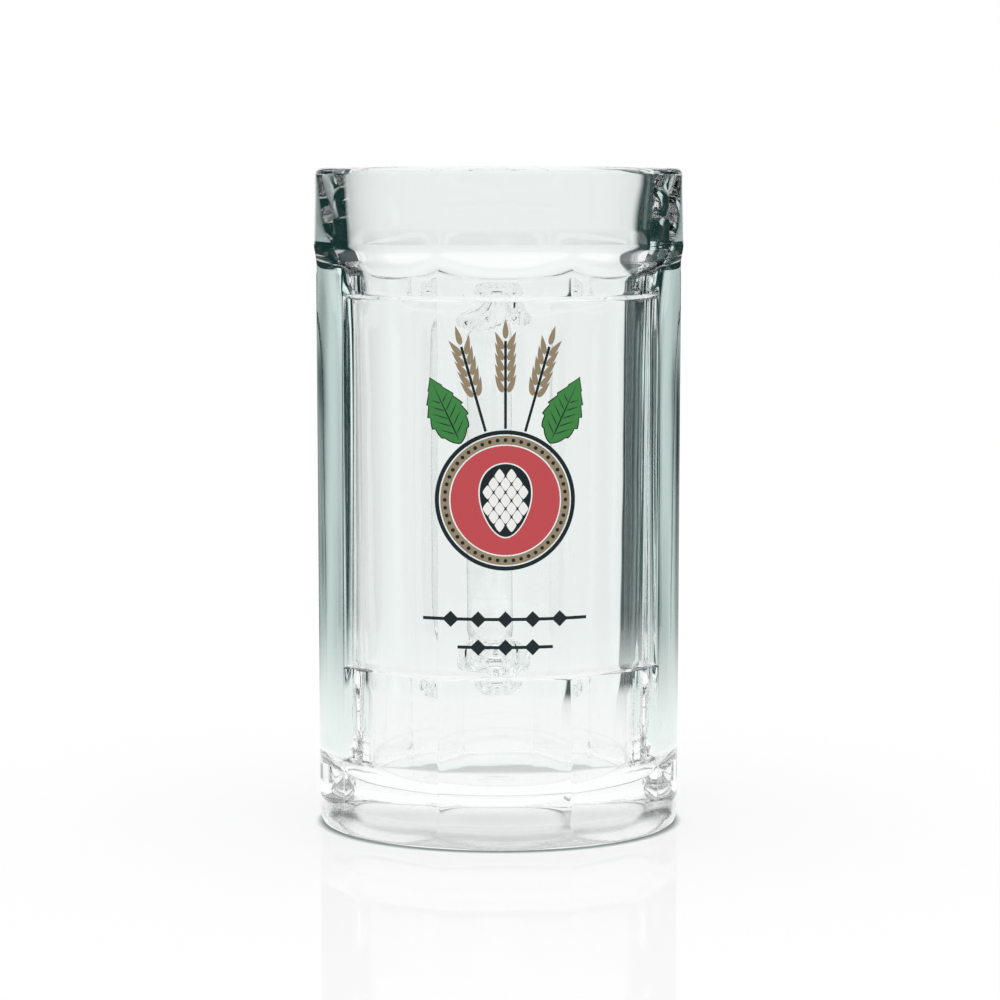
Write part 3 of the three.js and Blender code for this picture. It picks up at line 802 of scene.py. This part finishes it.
def glass_material(name="Clear pressed glass", roughness=0.0, bending=GLASS_BENDING):
    """Clear, faintly green glass; a lamp's shadow ray goes through it."""
    material = bpy.data.materials.get(name)
    if material:
        return material
    material, shader = new_material(name)
    tint = (*sizes("mug_colours").glass, 1)
    shader.inputs["Base Color"].default_value = tint
    shader.inputs["Roughness"].default_value = roughness
    shader.inputs["IOR"].default_value = bending
    shader.inputs["Transmission Weight"].default_value = 1.0
    wiring = Wiring(material.node_tree)
    path = wiring.nodes.new("ShaderNodeLightPath")
    clear = wiring.nodes.new("ShaderNodeBsdfTransparent")
    clear.inputs["Color"].default_value = tint
    glass = wiring.blend(path.outputs["Is Shadow Ray"], shader.outputs[0], clear.outputs[0])
    wiring.plug(glass, wiring.nodes["Material Output"].inputs["Surface"])
    return material


def seam_material():
    """Where body and handle are melted together there is no surface to see."""
    name = "Melted seam"
    material = bpy.data.materials.get(name)
    if material:
        return material
    material, shader = new_material(name)
    nodes, links = material.node_tree.nodes, material.node_tree.links
    nodes.remove(shader)
    clear = nodes.new("ShaderNodeBsdfTransparent")
    links.new(clear.outputs[0], nodes["Material Output"].inputs["Surface"])
    return material


class MUG_OT_body(bpy.types.Operator):
    """Builds the pressed glass body"""

    bl_idname = "mug.body"
    bl_label = "Glass body"

    def execute(self, context):
        shape = MugShape(sizes("mug_body"))
        verts, faces, seams, under = build_body(shape)
        stippled = glass_material("Stippled glass", STIPPLE_BLUR, STIPPLE_BENDING)
        picks = [(face, 1) for face in seams] + [(face, 2) for face in under]
        piece = mesh_object("glass_body", verts, faces, [glass_material(), seam_material(), stippled], picks)
        settle(piece, "glass", "mug_body")
        return {"FINISHED"}


class MUG_OT_handle(bpy.types.Operator):
    """Builds the glass handle"""

    bl_idname = "mug.handle"
    bl_label = "Glass handle"

    def execute(self, context):
        verts, faces, seams = build_handle(sizes("mug_body"), sizes("mug_handle"))
        picks = [(face, 1) for face in seams]
        piece = mesh_object("glass_handle", verts, faces, [glass_material(), seam_material()], picks)
        piece.data.set_sharp_from_angle(angle=HANDLE_CREASE)
        settle(piece, "glass", "handle")
        return {"FINISHED"}


def enamel_material(name):
    """Fired enamel of one colour, with a soft gloss."""
    label = f"Enamel {name}"
    material = bpy.data.materials.get(label)
    if material:
        return material
    material, shader = new_material(label)
    shader.inputs["Base Color"].default_value = (*getattr(sizes("mug_colours"), name), 1)
    shader.inputs["Roughness"].default_value = ENAMEL_BLUR
    shader.inputs["Specular IOR Level"].default_value = ENAMEL_SHINE
    return material


class Film:
    """Enamel shapes laid out flat: x across, z up and y as the height above the gap."""

    def __init__(self):
        self.verts, self.faces, self.picks = [], [], []

    def add(self, outer, inner, steps, low, high, pick=0):
        """A flat piece between two outlines with as many points; a single inner point makes it whole."""
        inside = inner * len(outer) if len(inner) == 1 else inner
        loops = []
        for i in range(steps + 1):
            loops.append([a.lerp(b, i / steps) for a, b in zip(inside, outer)])
        if len(inner) == 1:
            loops[0] = inner
        levels = []
        for height in (low, high):
            start = []
            for loop in loops:
                start.append(len(self.verts))
                self.verts += [(p.x, height, p.y) for p in loop]
            levels.append(start)
        n = len(outer)
        first = len(self.faces)
        for start in levels:
            for i in range(steps):
                self.strip(start[i], start[i + 1], n, len(loops[i]) == 1)
        self.strip(levels[0][-1], levels[1][-1], n, False)
        if len(inner) > 1:
            self.strip(levels[0][0], levels[1][0], n, False)
        self.picks += [(face, pick) for face in range(first, len(self.faces))]

    def strip(self, a, b, n, fan):
        """Faces between two loops that start at points a and b."""
        for j in range(n):
            k = (j + 1) % n
            self.faces.append((a, b + j, b + k) if fan else (a + j, b + j, b + k, a + k))

    def object(self, name, materials):
        """The shapes so far as a piece."""
        return mesh_object(name, self.verts, self.faces, materials, self.picks)


def turns_round(count):
    """Evenly spaced angles round a full turn."""
    return [i / count * 2 * math.pi for i in range(count)]


def circle(radius, count=96):
    """A round outline."""
    return [Vector((radius * math.sin(t), radius * math.cos(t))) for t in turns_round(count)]


def egg(width, height, taper, count=96):
    """An outline that is wider above its middle."""
    points = []
    for turn in turns_round(count):
        across = width / 2 * math.sin(turn) * (1 + taper * math.cos(turn))
        points.append(Vector((across, height / 2 * math.cos(turn))))
    return points


def leaf_half(width, share):
    """Half the width of a leaf at a share of its length."""
    return width / 2 * math.sin(math.pi * share ** LEAF_CURVE)


def leaf(width, height, teeth, depth, count=60):
    """A saw-edged leaf that stands on the origin."""
    side = []
    for i in range(count + 1):
        share = i / count
        tooth = 1 - depth * ((share * teeth) % 1) if 0 < i < count else 1
        side.append((leaf_half(width, share) * tooth, height * share))
    right = [Vector(p) for p in side]
    return right + [Vector((-x, z)) for x, z in reversed(side[1:-1])]


def spindle(start, end, width, count=12):
    """A narrow shape from start to end, widest at a third of its length."""
    along = end - start
    across = Vector((along.y, -along.x)).normalized() * width / 2
    shares = [i / count for i in range(count + 1)]
    fullness = [math.sin(math.pi * share ** SPINDLE_CURVE) for share in shares]
    right = [start + along * share + across * full for share, full in zip(shares, fullness)]
    left = [start + along * share - across * full for share, full in zip(shares, fullness)]
    return right + list(reversed(left[1:-1]))


def lozenge(size):
    """A square that stands on a corner."""
    half = size / 2
    return [Vector(corner) for corner in ((0, half), (half, 0), (0, -half), (-half, 0))]


def bract_outline(p, count=24):
    """A diamond with bulging sides that leaves a thin line between itself and its neighbours."""
    points = []
    for turn in turns_round(count):
        across, up = math.sin(turn), math.cos(turn)
        x = math.copysign(abs(across) ** p.bract_bulge, across) * p.bract_width
        z = math.copysign(abs(up) ** p.bract_bulge, up) * p.bract_height
        points.append(Vector((x, z)) * p.bract_fill)
    return points


def bend(piece):
    """Bends a flat film on to the label field and keeps its edges crisp."""
    body = sizes("mug_body")
    radius = body.flat + body.label_rise + sizes("mug_print").gap
    for vertex in piece.data.vertices:
        x, height, z = vertex.co
        vertex.co = (x, -math.sqrt((radius + height) ** 2 - x ** 2), z)
    close_up(piece.data)
    piece.data.shade_smooth()
    piece.data.set_sharp_from_angle(angle=INK_CREASE)


def place(piece, across, up, turn=0.0):
    """Turns a flat film and moves it to its place on the label."""
    cosine, sine = math.cos(turn), math.sin(turn)
    for vertex in piece.data.vertices:
        x, height, z = vertex.co
        vertex.co = (across + x * cosine + z * sine, height, up - x * sine + z * cosine)


def medallion_middle():
    """Height of the medallion's middle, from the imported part."""
    return (RING_LOW.z + RING_HIGH.z) / 2


def motif_tree():
    """Sets one motif on every point of a mesh, turned by the point's own angle."""
    name = "Motif on points"
    tree = bpy.data.node_groups.get(name)
    if tree:
        return tree
    tree = bpy.data.node_groups.new(name, "GeometryNodeTree")
    face = tree.interface
    face.new_socket("Points", in_out="INPUT", socket_type="NodeSocketGeometry")
    face.new_socket("Motif", in_out="INPUT", socket_type="NodeSocketObject")
    face.new_socket("Material", in_out="INPUT", socket_type="NodeSocketMaterial")
    face.new_socket("Print", in_out="OUTPUT", socket_type="NodeSocketGeometry")
    nodes, links = tree.nodes, tree.links
    start = nodes.new("NodeGroupInput")
    points = nodes.new("GeometryNodeMeshToPoints")
    motif = nodes.new("GeometryNodeObjectInfo")
    turn = nodes.new("GeometryNodeInputNamedAttribute")
    turn.data_type = "FLOAT"
    turn.inputs["Name"].default_value = "turn"
    angles = nodes.new("ShaderNodeCombineXYZ")
    spin = nodes.new("FunctionNodeEulerToRotation")
    stand = nodes.new("GeometryNodeInstanceOnPoints")
    solid = nodes.new("GeometryNodeRealizeInstances")
    paint = nodes.new("GeometryNodeSetMaterial")
    end = nodes.new("NodeGroupOutput")
    links.new(start.outputs["Points"], points.inputs["Mesh"])
    links.new(start.outputs["Motif"], motif.inputs["Object"])
    links.new(turn.outputs["Attribute"], angles.inputs["Y"])
    links.new(angles.outputs["Vector"], spin.inputs["Euler"])
    links.new(points.outputs["Points"], stand.inputs["Points"])
    links.new(motif.outputs["Geometry"], stand.inputs["Instance"])
    links.new(spin.outputs["Rotation"], stand.inputs["Rotation"])
    links.new(stand.outputs["Instances"], solid.inputs["Geometry"])
    links.new(solid.outputs["Geometry"], paint.inputs["Geometry"])
    links.new(start.outputs["Material"], paint.inputs["Material"])
    links.new(paint.outputs["Geometry"], end.inputs["Print"])
    return tree


def repeat(name, motif, spots, material):
    """A plain mesh with the motif at every (across, up, turn) spot."""
    mesh = bpy.data.meshes.new(name)
    mesh.from_pydata([(across, 0, up) for across, up, _ in spots], [], [])
    turns = mesh.attributes.new("turn", "FLOAT", "POINT")
    for value, (_, _, turn) in zip(turns.data, spots):
        value.value = turn
    holder = bpy.data.objects.new(name, mesh)
    bpy.context.scene.collection.objects.link(holder)
    modifier = holder.modifiers.new("Motif on points", "NODES")
    tree = motif_tree()
    modifier.node_group = tree
    inputs = {"Motif": motif, "Material": material}
    for item in tree.interface.items_tree:
        if item.in_out == "INPUT" and item.name in inputs:
            modifier[item.identifier] = inputs[item.name]
    bpy.context.view_layer.update()
    seen = holder.evaluated_get(bpy.context.evaluated_depsgraph_get())
    made = bpy.data.meshes.new_from_object(seen)
    holder.modifiers.clear()
    bpy.data.objects.remove(holder)
    bpy.data.objects.remove(motif)
    return made


def join(piece, mesh):
    """Adds a mesh to a piece, with its materials."""
    extra = bpy.data.objects.new("extra", mesh)
    bpy.context.scene.collection.objects.link(extra)
    with bpy.context.temp_override(active_object=piece, selected_editable_objects=[piece, extra]):
        bpy.ops.object.join()


class MUG_OT_medallion(bpy.types.Operator):
    """Prints the round medallion with the hop cone"""

    bl_idname = "mug.medallion"
    bl_label = "Medallion"

    def execute(self, context):
        p = sizes("mug_print")
        outer = p.radius - p.keyline - p.space
        self.ring(p)
        self.band(p, outer)
        self.disc(p, outer - p.band - p.space)
        self.cone(p)
        return {"FINISHED"}

    def ring(self, p):
        """The dark ring."""
        film = Film()
        film.add(circle(p.radius), circle(p.radius - p.keyline), 2, 0, p.ink)
        piece = film.object("enamel_ring", [enamel_material("black")])
        self.finish(piece, "enamel_black", "print_medallion_ring")

    def band(self, p, outer):
        """The pale ring with its beads."""
        film = Film()
        film.add(circle(outer), circle(outer - p.band), 3, 0, p.ink)
        piece = film.object("enamel_band", [enamel_material("tan")])
        bead = Film()
        bead.add(circle(p.band * p.bead, 16), [MIDDLE], 1, p.ink + p.fine_lift, p.ink + p.fine_ink)
        spots = [(point.x, point.y, 0.0) for point in circle(outer - p.band / 2, p.beads)]
        join(piece, repeat("beads", bead.object("bead", []), spots, enamel_material("black")))
        self.finish(piece, "enamel_tan", "print_medallion_band")

    def disc(self, p, radius):
        """The red field, with an opening for the cone."""
        film = Film()
        opening = egg(p.cone_width + 2 * p.space, p.cone_height + 2 * p.space, p.cone_taper)
        film.add(circle(radius), opening, 8, 0, p.ink)
        piece = film.object("enamel_disc", [enamel_material("red")])
        self.finish(piece, "enamel_red", "print_medallion_disc")

    def cone(self, p):
        """The hop cone, with white bracts on a dark backing."""
        backing = p.ink * p.backing
        film = Film()
        film.add(egg(p.cone_width, p.cone_height, p.cone_taper), [MIDDLE], 8, 0, backing)
        piece = film.object("enamel_cone", [enamel_material("black")])
        bract = Film()
        bract.add(bract_outline(p), [MIDDLE], 2, backing + p.lift, p.ink)
        join(piece, repeat("bracts", bract.object("bract", []), self.bracts(p), enamel_material("white")))
        self.finish(piece, "enamel_white", "print_hop_cone")

    @staticmethod
    def bracts(p):
        """Spots of the bracts that lie well inside the cone, row by row."""
        spots = []
        half_high, half_wide = p.bract_height * 0.4, p.bract_width * 0.36
        rows = math.ceil(p.cone_height / p.bract_height)
        columns = math.ceil(p.cone_width / p.bract_width / 2)
        for row in range(-rows, rows + 1):
            up = row * p.bract_height / 2
            if abs(up) + half_high > p.cone_height / 2:
                continue
            share = 2 * up / p.cone_height
            width = p.cone_width * math.sqrt(1 - share ** 2) * (1 + p.cone_taper * share)
            for column in range(-columns, columns + 1):
                across = (column + (row % 2) / 2) * p.bract_width
                if abs(across) + half_wide < width / 2:
                    spots.append((across, up, 0.0))
        return spots

    @staticmethod
    def finish(piece, slot_name, node):
        """Sets a flat piece on the label, round the medallion's middle."""
        place(piece, 0, medallion_middle())
        bend(piece)
        settle(piece, slot_name, node)


class MUG_OT_ears(bpy.types.Operator):
    """Prints the three barley ears"""

    bl_idname = "mug.ears"
    bl_label = "Barley ears"

    def execute(self, context):
        p = sizes("mug_print")
        backing = p.ink * p.backing
        root = p.radius + p.space
        for number in (1, 2, 3):
            stalk = Film()
            half, bare, end = p.stalk / 2, p.ear_length * p.bare_stalk, p.ear_length * p.stalk_end
            edge = [Vector((-half, up)) for up in (0, bare, end)]
            edge += [Vector((half, up)) for up in (end, bare, 0)]
            stalk.add(edge, [Vector((0, bare))], 1, 0, backing)
            piece = stalk.object(f"enamel_ear_{number}", [enamel_material("black")])
            kernel = Film()
            tip = Vector((0, p.kernel_length))
            edge = spindle(MIDDLE, tip, p.kernel_width, 14)
            kernel.add(edge, [tip * FAN_SHARE], 2, backing + p.lift, p.ink)
            tan = enamel_material("tan")
            join(piece, repeat("kernels", kernel.object("kernel", []), self.kernels(p), tan))
            turn = (number - 2) * p.ear_spread
            place(piece, root * math.sin(turn), medallion_middle() + root * math.cos(turn), turn)
            bend(piece)
            settle(piece, "enamel_tan", f"print_barley_ear_{number}")
        return {"FINISHED"}

    @staticmethod
    def kernels(p):
        """Leaning kernels in pairs up the stalk, with one more at the tip."""
        bare = p.ear_length * p.bare_stalk
        step = (p.ear_length - p.kernel_length - bare) / p.kernel_pairs
        spots = [(0.0, p.ear_length - p.kernel_length, 0.0)]
        for pair in range(p.kernel_pairs):
            for side in (-1, 1):
                across = side * p.kernel_width * p.kernel_aside
                spots.append((across, bare + pair * step, side * p.kernel_lean))
        return spots


class MUG_OT_leaves(bpy.types.Operator):
    """Prints the two hop leaves"""

    bl_idname = "mug.leaves"
    bl_label = "Hop leaves"

    def execute(self, context):
        p = sizes("mug_print")
        rim, backing = p.outline, p.ink * p.backing
        root = p.radius + p.space + rim
        middle = [Vector((0, p.leaf_length * FAN_SHARE))]
        for side, name in ((-1, "left"), (1, "right")):
            film = Film()
            edge = leaf(p.leaf_width + 2 * rim, p.leaf_length + 2 * rim, p.leaf_teeth, p.saw_depth)
            film.add([point - Vector((0, rim)) for point in edge], middle, 6, 0, backing, 1)
            edge = leaf(p.leaf_width, p.leaf_length, p.leaf_teeth, p.saw_depth)
            film.add(edge, middle, 6, backing + p.lift, p.ink)
            for vein in self.veins(p):
                core = (vein[0] + vein[len(vein) // 2]) / 2
                film.add(vein, [core], 1, p.ink + p.fine_lift, p.ink + p.fine_ink, 1)
            piece = film.object(f"enamel_leaf_{name}", [enamel_material("green"), enamel_material("black")])
            turn = side * p.leaf_seat
            up = medallion_middle() + root * math.cos(turn)
            place(piece, root * math.sin(turn), up, side * p.leaf_lean)
            bend(piece)
            settle(piece, "enamel_green", f"print_hop_leaf_{name}")
        return {"FINISHED"}

    @staticmethod
    def veins(p):
        """The midrib and pairs of side veins that don't quite reach it."""
        rib_foot, rib_tip = 0.04 * p.leaf_length, 0.9 * p.leaf_length
        lines = [spindle(Vector((0, rib_foot)), Vector((0, rib_tip)), p.outline)]
        lowest, highest, rise = 0.14, 0.74, 0.12
        beside, inside, climb, thin = 0.8 * p.outline, 0.68, 0.85, 0.7 * p.outline
        for i in range(p.vein_pairs):
            share = lowest + (highest - lowest) * i / p.vein_pairs
            reach = inside * leaf_half(p.leaf_width, share + rise)
            for side in (-1, 1):
                start = Vector((side * beside, p.leaf_length * share))
                end = start + Vector((side * reach, climb * reach))
                lines.append(spindle(start, end, thin))
        return lines


class MUG_OT_rules(bpy.types.Operator):
    """Prints the two rules with their lozenges"""

    bl_idname = "mug.rules"
    bl_label = "Rules"

    def execute(self, context):
        p = sizes("mug_print")
        backing = p.ink * p.backing
        black = enamel_material("black")
        for name in ("upper", "lower"):
            low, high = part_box(f"print_rule_{name}")
            half, up = (high.x - low.x) / 2, (high.z + low.z) / 2
            bar = Film()
            top = [Vector((across, p.rule / 2)) for across in spread(-half, half, RULE_POINTS)]
            edge = top + [Vector((point.x, -p.rule / 2)) for point in reversed(top)]
            line = [Vector((point.x * RULE_CORE, 0)) for point in edge]
            bar.add(edge, line, 1, 0, backing)
            piece = bar.object(f"enamel_rule_{name}", [black])
            mark = Film()
            mark.add(lozenge(p.lozenge), [MIDDLE], 2, backing + p.lift, p.ink)
            count = math.floor((half - p.lozenge / 2) / p.lozenge_pitch)
            spots = [(i * p.lozenge_pitch, 0.0, 0.0) for i in range(-count, count + 1)]
            join(piece, repeat("lozenges", mark.object("lozenge", []), spots, black))
            place(piece, 0, up)
            bend(piece)
            settle(piece, "enamel_black", f"print_rule_{name}")
        return {"FINISHED"}


class MUG_OT_stage(bpy.types.Operator):
    """Builds the floor, the light and the camera"""

    bl_idname = "mug.stage"
    bl_label = "Studio"

    def execute(self, context):
        scene = context.scene
        build_floor(scene)
        build_world(scene)
        build_camera(scene)
        build_lamp(scene)
        scene.view_settings.view_transform = "Standard"
        for limit in ("max_bounces", "glossy_bounces", "transmission_bounces", "transparent_max_bounces"):
            setattr(scene.cycles, limit, sizes("mug_stage").bounces)
        return {"FINISHED"}


def backdrop_group():
    """How bright the studio is round the mug: bright fields on four sides with dark flags between them."""
    name = "Studio round the mug"
    group = bpy.data.node_groups.get(name)
    if group:
        return group
    stage = sizes("mug_stage")
    group = bpy.data.node_groups.new(name, "ShaderNodeTree")
    group.interface.new_socket("Direction", in_out="INPUT", socket_type="NodeSocketVector")
    for output in ("Field", "Panel", "Through", "Behind"):
        group.interface.new_socket(output, in_out="OUTPUT", socket_type="NodeSocketFloat")
    wiring = Wiring(group)
    direction = wiring.nodes.new("NodeGroupInput").outputs["Direction"]
    end = wiring.nodes.new("NodeGroupOutput")
    split = wiring.nodes.new("ShaderNodeSeparateXYZ")
    wiring.plug(direction, split.inputs[0])
    turn = wiring.math("ARCTAN2", split.outputs["X"], split.outputs["Y"])
    off = wiring.math("WRAP", turn, EIGHTH, -EIGHTH)

    # Light from a column starts beside the axis, so near the mug a field moves aside and widens
    shift = wiring.math("DIVIDE", sizes("mug_body").column, wiring.reach(direction))
    middle = wiring.math("SUBTRACT", stage.field, wiring.product(shift, stage.field_drift))
    fade = wiring.math("ADD", stage.field_fade, wiring.product(shift, stage.field_spread))
    aside = wiring.math("ABSOLUTE", wiring.math("SUBTRACT", off, middle))
    wiring.plug(wiring.ramp(aside, 0.0, fade, stage.field_light, 0.0), end.inputs["Field"])

    half = stage.panel_fade / 2
    panel = wiring.ramp(turn, stage.panel - half, stage.panel + half, 1.0, 0.0)
    wiring.plug(panel, end.inputs["Panel"])

    half, flag_end = stage.flag_fade / 2, stage.flag + stage.flag_width
    begins = wiring.ramp(off, stage.flag - half, stage.flag + half)
    lasts = wiring.ramp(off, flag_end - half, flag_end + half, 1.0, 0.0)
    wiring.plug(wiring.rest(wiring.product(begins, lasts)), end.inputs["Through"])

    wall_end = stage.mirror_back + stage.mirror_back_fade
    wall = wiring.ramp(wiring.math("ABSOLUTE", turn), stage.mirror_back, wall_end, 1.0, 0.0)
    wiring.plug(wall, end.inputs["Behind"])
    return group


class Rays:
    """What kind of ray a studio surface is seen by, each 1 or 0."""

    def __init__(self, wiring):
        path = wiring.nodes.new("ShaderNodeLightPath")
        bounced, crossed = path.outputs["Glossy Depth"], path.outputs["Transmission Depth"]
        no_seam = wiring.at_most(path.outputs["Transparent Depth"], 0)
        self.camera = path.outputs["Is Camera Ray"]
        self.glass = path.outputs["Is Transmission Ray"]
        self.mirror = wiring.product(path.outputs["Is Glossy Ray"], wiring.rest(self.glass))
        self.body = wiring.product(no_seam, wiring.at_most(crossed, BODY_SURFACES))
        self.edge = wiring.product(self.glass, wiring.more_than(bounced, 0), self.body)
        self.once = wiring.at_most(bounced, 1)
        self.thrice = wiring.more_than(bounced, 2)
        self.few = wiring.at_most(bounced, FEW_BOUNCES)


def build_world(scene):
    """White to the eye; the glass shows a pale backdrop, a bright sky and a dark room between them."""
    stage = sizes("mug_stage")
    world = bpy.data.worlds.new("Studio")
    scene.world = world
    world.use_nodes = True
    wiring = Wiring(world.node_tree)
    rays = Rays(wiring)
    direction = wiring.nodes.new("ShaderNodeTexCoord").outputs["Generated"]
    around = wiring.nodes.new("ShaderNodeGroup")
    around.node_tree = backdrop_group()
    wiring.plug(direction, around.inputs["Direction"])
    up = wiring.height(direction)

    def above(start, fade, light=1.0):
        """Light that begins at an angle above the horizon."""
        return wiring.ramp(up, math.sin(start), math.sin(start + fade), 0.0, light)

    sky = wiring.product(above(stage.sky, stage.sky_fade, stage.sky_light), rays.once)
    top = above(stage.top, stage.top_fade, stage.top_light)
    edge = wiring.mix(wiring.largest(sky, top), stage.dark, WHITE)
    clear = wiring.largest(around.outputs["Through"], wiring.rest(rays.body))
    through = wiring.mix(clear, stage.dark, stage.backdrop)
    white = wiring.largest(around.outputs["Behind"], above(stage.mirror_sky, stage.mirror_sky_fade))
    room = wiring.mix(white, (stage.mirror,) * 3, WHITE)
    shown = wiring.mix(rays.mirror, WHITE, room)
    shown = wiring.mix(rays.glass, shown, through)
    shown = wiring.mix(rays.edge, shown, edge)
    wiring.plug(shown, wiring.nodes["Background"].inputs["Color"])


def floor_material():
    """White to the eye but for a painted contact shadow; the glass shows a pale floor that glows with the
    studio's fields and dark as painted light and painted shade.
    """
    stage = sizes("mug_stage")
    material, shader = new_material("White studio floor")
    shader.inputs["Roughness"].default_value = 1.0
    shader.inputs["Specular IOR Level"].default_value = 0.0
    wiring = Wiring(material.node_tree)
    rays = Rays(wiring)
    spot = wiring.nodes.new("ShaderNodeTexCoord").outputs["Object"]
    distance = wiring.reach(spot)
    around = wiring.nodes.new("ShaderNodeGroup")
    around.node_tree = backdrop_group()
    wiring.plug(spot, around.inputs["Direction"])

    # Facing is 1 for a ray along the floor and 0 for one from straight above
    slant = wiring.nodes.new("ShaderNodeLayerWeight")
    slant.inputs["Blend"].default_value = 0.5
    steepest = stage.flat_view + stage.flat_view_fade
    flattest = stage.flat_view - stage.flat_view_fade
    flat = wiring.ramp(slant.outputs["Facing"], 1 - math.sin(steepest), 1 - math.sin(flattest))

    # Rays that were reflected inside the body: the floor glows for them with painted light fields and
    # painted dark, white under the mug and a set pale tone near it
    close = wiring.ramp(distance, stage.near, stage.near_end, 1.0, 0.0)
    near = wiring.product(close, wiring.largest(rays.few, flat))
    under = wiring.ramp(distance, stage.under, stage.under_end, 1.0, 0.0)
    fields = wiring.product(flat, around.outputs["Field"], rays.once)
    panel = wiring.product(flat, around.outputs["Panel"], rays.thrice, stage.panel_light)
    edge = wiring.mix(wiring.largest(fields, panel), stage.dark, stage.tint)
    edge = wiring.mix(near, edge, stage.shallow)
    edge = wiring.mix(under, edge, WHITE)

    # Rays that only went through the glass: the floor glows pale for them, with painted dark where the
    # studio's flags lie
    pale = wiring.mix(wiring.ramp(distance, stage.near, stage.far), stage.ground, stage.backdrop)
    clear = wiring.largest(around.outputs["Through"], close, wiring.rest(rays.body))
    through = wiring.mix(clear, stage.dark, pale)

    # The eye, and rays that were reflected by the outside of the mug.
    # contact is a painted contact shadow: a dark ring on the floor round the foot, in its colour and its
    # glow.
    # Reflections see the floor glow white near the mug and painted dark further off
    foot = MugShape(sizes("mug_body")).foot
    contact = wiring.mix(wiring.ramp(distance, foot, foot + stage.contact), stage.shade, WHITE)
    wiring.plug(contact, shader.inputs["Base Color"])
    shown = wiring.mix(rays.camera, wiring.mix(rays.edge, through, edge), contact)
    room = wiring.mix(wiring.largest(near, under), (stage.mirror,) * 3, WHITE)
    glow = wiring.nodes.new("ShaderNodeEmission")
    wiring.plug(wiring.mix(rays.mirror, shown, room), glow.inputs["Color"])

    polish = wiring.nodes.new("ShaderNodeBsdfGlossy")
    polish.inputs["Roughness"].default_value = stage.polish_blur
    waxed = wiring.blend(stage.polish, shader.outputs[0], polish.outputs[0])
    white = wiring.ramp(distance, stage.shadow, stage.shadow_end, stage.shadow_white, 1.0)
    glowing = wiring.largest(rays.glass, wiring.product(rays.camera, white), rays.mirror)
    surface = wiring.blend(glowing, waxed, glow.outputs[0])
    wiring.plug(surface, wiring.nodes["Material Output"].inputs["Surface"])
    return material


def build_floor(scene):
    """A white floor with a faint shadow, a painted contact shadow round the foot and a mirror image of the
    mug.
    """
    stage = sizes("mug_stage")
    far, level = stage.floor_size, -stage.floor_gap
    mesh = bpy.data.meshes.new("floor")
    corners = [(x * far, y * far, level) for x, y in ((-1, -1), (1, -1), (1, 1), (-1, 1))]
    mesh.from_pydata(corners, [], [(0, 1, 2, 3)])
    mesh.materials.append(floor_material())
    floor = bpy.data.objects.new("floor", mesh)
    scene.collection.objects.link(floor)


def build_camera(scene):
    """Looks at the front of the mug, a little from above."""
    stage = sizes("mug_stage")
    camera = bpy.data.objects.new("camera", bpy.data.cameras.new("camera"))
    scene.collection.objects.link(camera)
    across = stage.distance * math.sin(stage.azimuth)
    forth = stage.distance * math.cos(stage.azimuth)
    camera.location = (across, -forth, stage.eye)
    aim = Vector((stage.aim_aside, 0, stage.aim))
    camera.rotation_euler = (aim - camera.location).to_track_quat("-Z", "Y").to_euler()
    camera.data.lens = stage.lens
    camera.data.clip_end = 3 * stage.floor_size
    scene.camera = camera


def build_lamp(scene):
    """A soft square lamp above the mug."""
    stage = sizes("mug_stage")
    lamp = bpy.data.lights.new("soft_top", "AREA")
    lamp.shape = "SQUARE"
    lamp.size = stage.lamp_size
    lamp.energy = stage.lamp_power
    top = bpy.data.objects.new("soft_top", lamp)
    top.location = (0, 0, stage.lamp_height)
    scene.collection.objects.link(top)


class MUG_PT_panel(bpy.types.Panel):
    """Lists the mug's operators"""

    bl_idname = "MUG_PT_panel"
    bl_label = "Glass beer mug"
    bl_space_type = "VIEW_3D"
    bl_region_type = "UI"
    bl_category = "Beer mug"

    def draw(self, context):
        for operator in OPERATORS:
            self.layout.operator(operator.bl_idname)


GROUPS = {
    "mug_body": MugBodySizes,
    "mug_handle": MugHandleSizes,
    "mug_print": MugPrintSizes,
    "mug_colours": MugColours,
    "mug_stage": MugStage,
}
OPERATORS = (
    MUG_OT_body,
    MUG_OT_handle,
    MUG_OT_medallion,
    MUG_OT_ears,
    MUG_OT_leaves,
    MUG_OT_rules,
    MUG_OT_stage,
)


def register():
    """Makes the settings, operators and panel known."""
    for cls in (*GROUPS.values(), *OPERATORS, MUG_PT_panel):
        bpy.utils.register_class(cls)
    for name, cls in GROUPS.items():
        setattr(bpy.types.Scene, name, PointerProperty(type=cls))


def unregister():
    """Takes them away again."""
    for name in GROUPS:
        delattr(bpy.types.Scene, name)
    for cls in (MUG_PT_panel, *reversed(OPERATORS), *GROUPS.values()):
        bpy.utils.unregister_class(cls)


def main():
    """Builds the mug and its studio."""
    register()
    bpy.ops.mug.body()
    bpy.ops.mug.handle()
    bpy.ops.mug.medallion()
    bpy.ops.mug.ears()
    bpy.ops.mug.leaves()
    bpy.ops.mug.rules()
    bpy.ops.mug.stage()


if __name__ == "__main__":
    main()
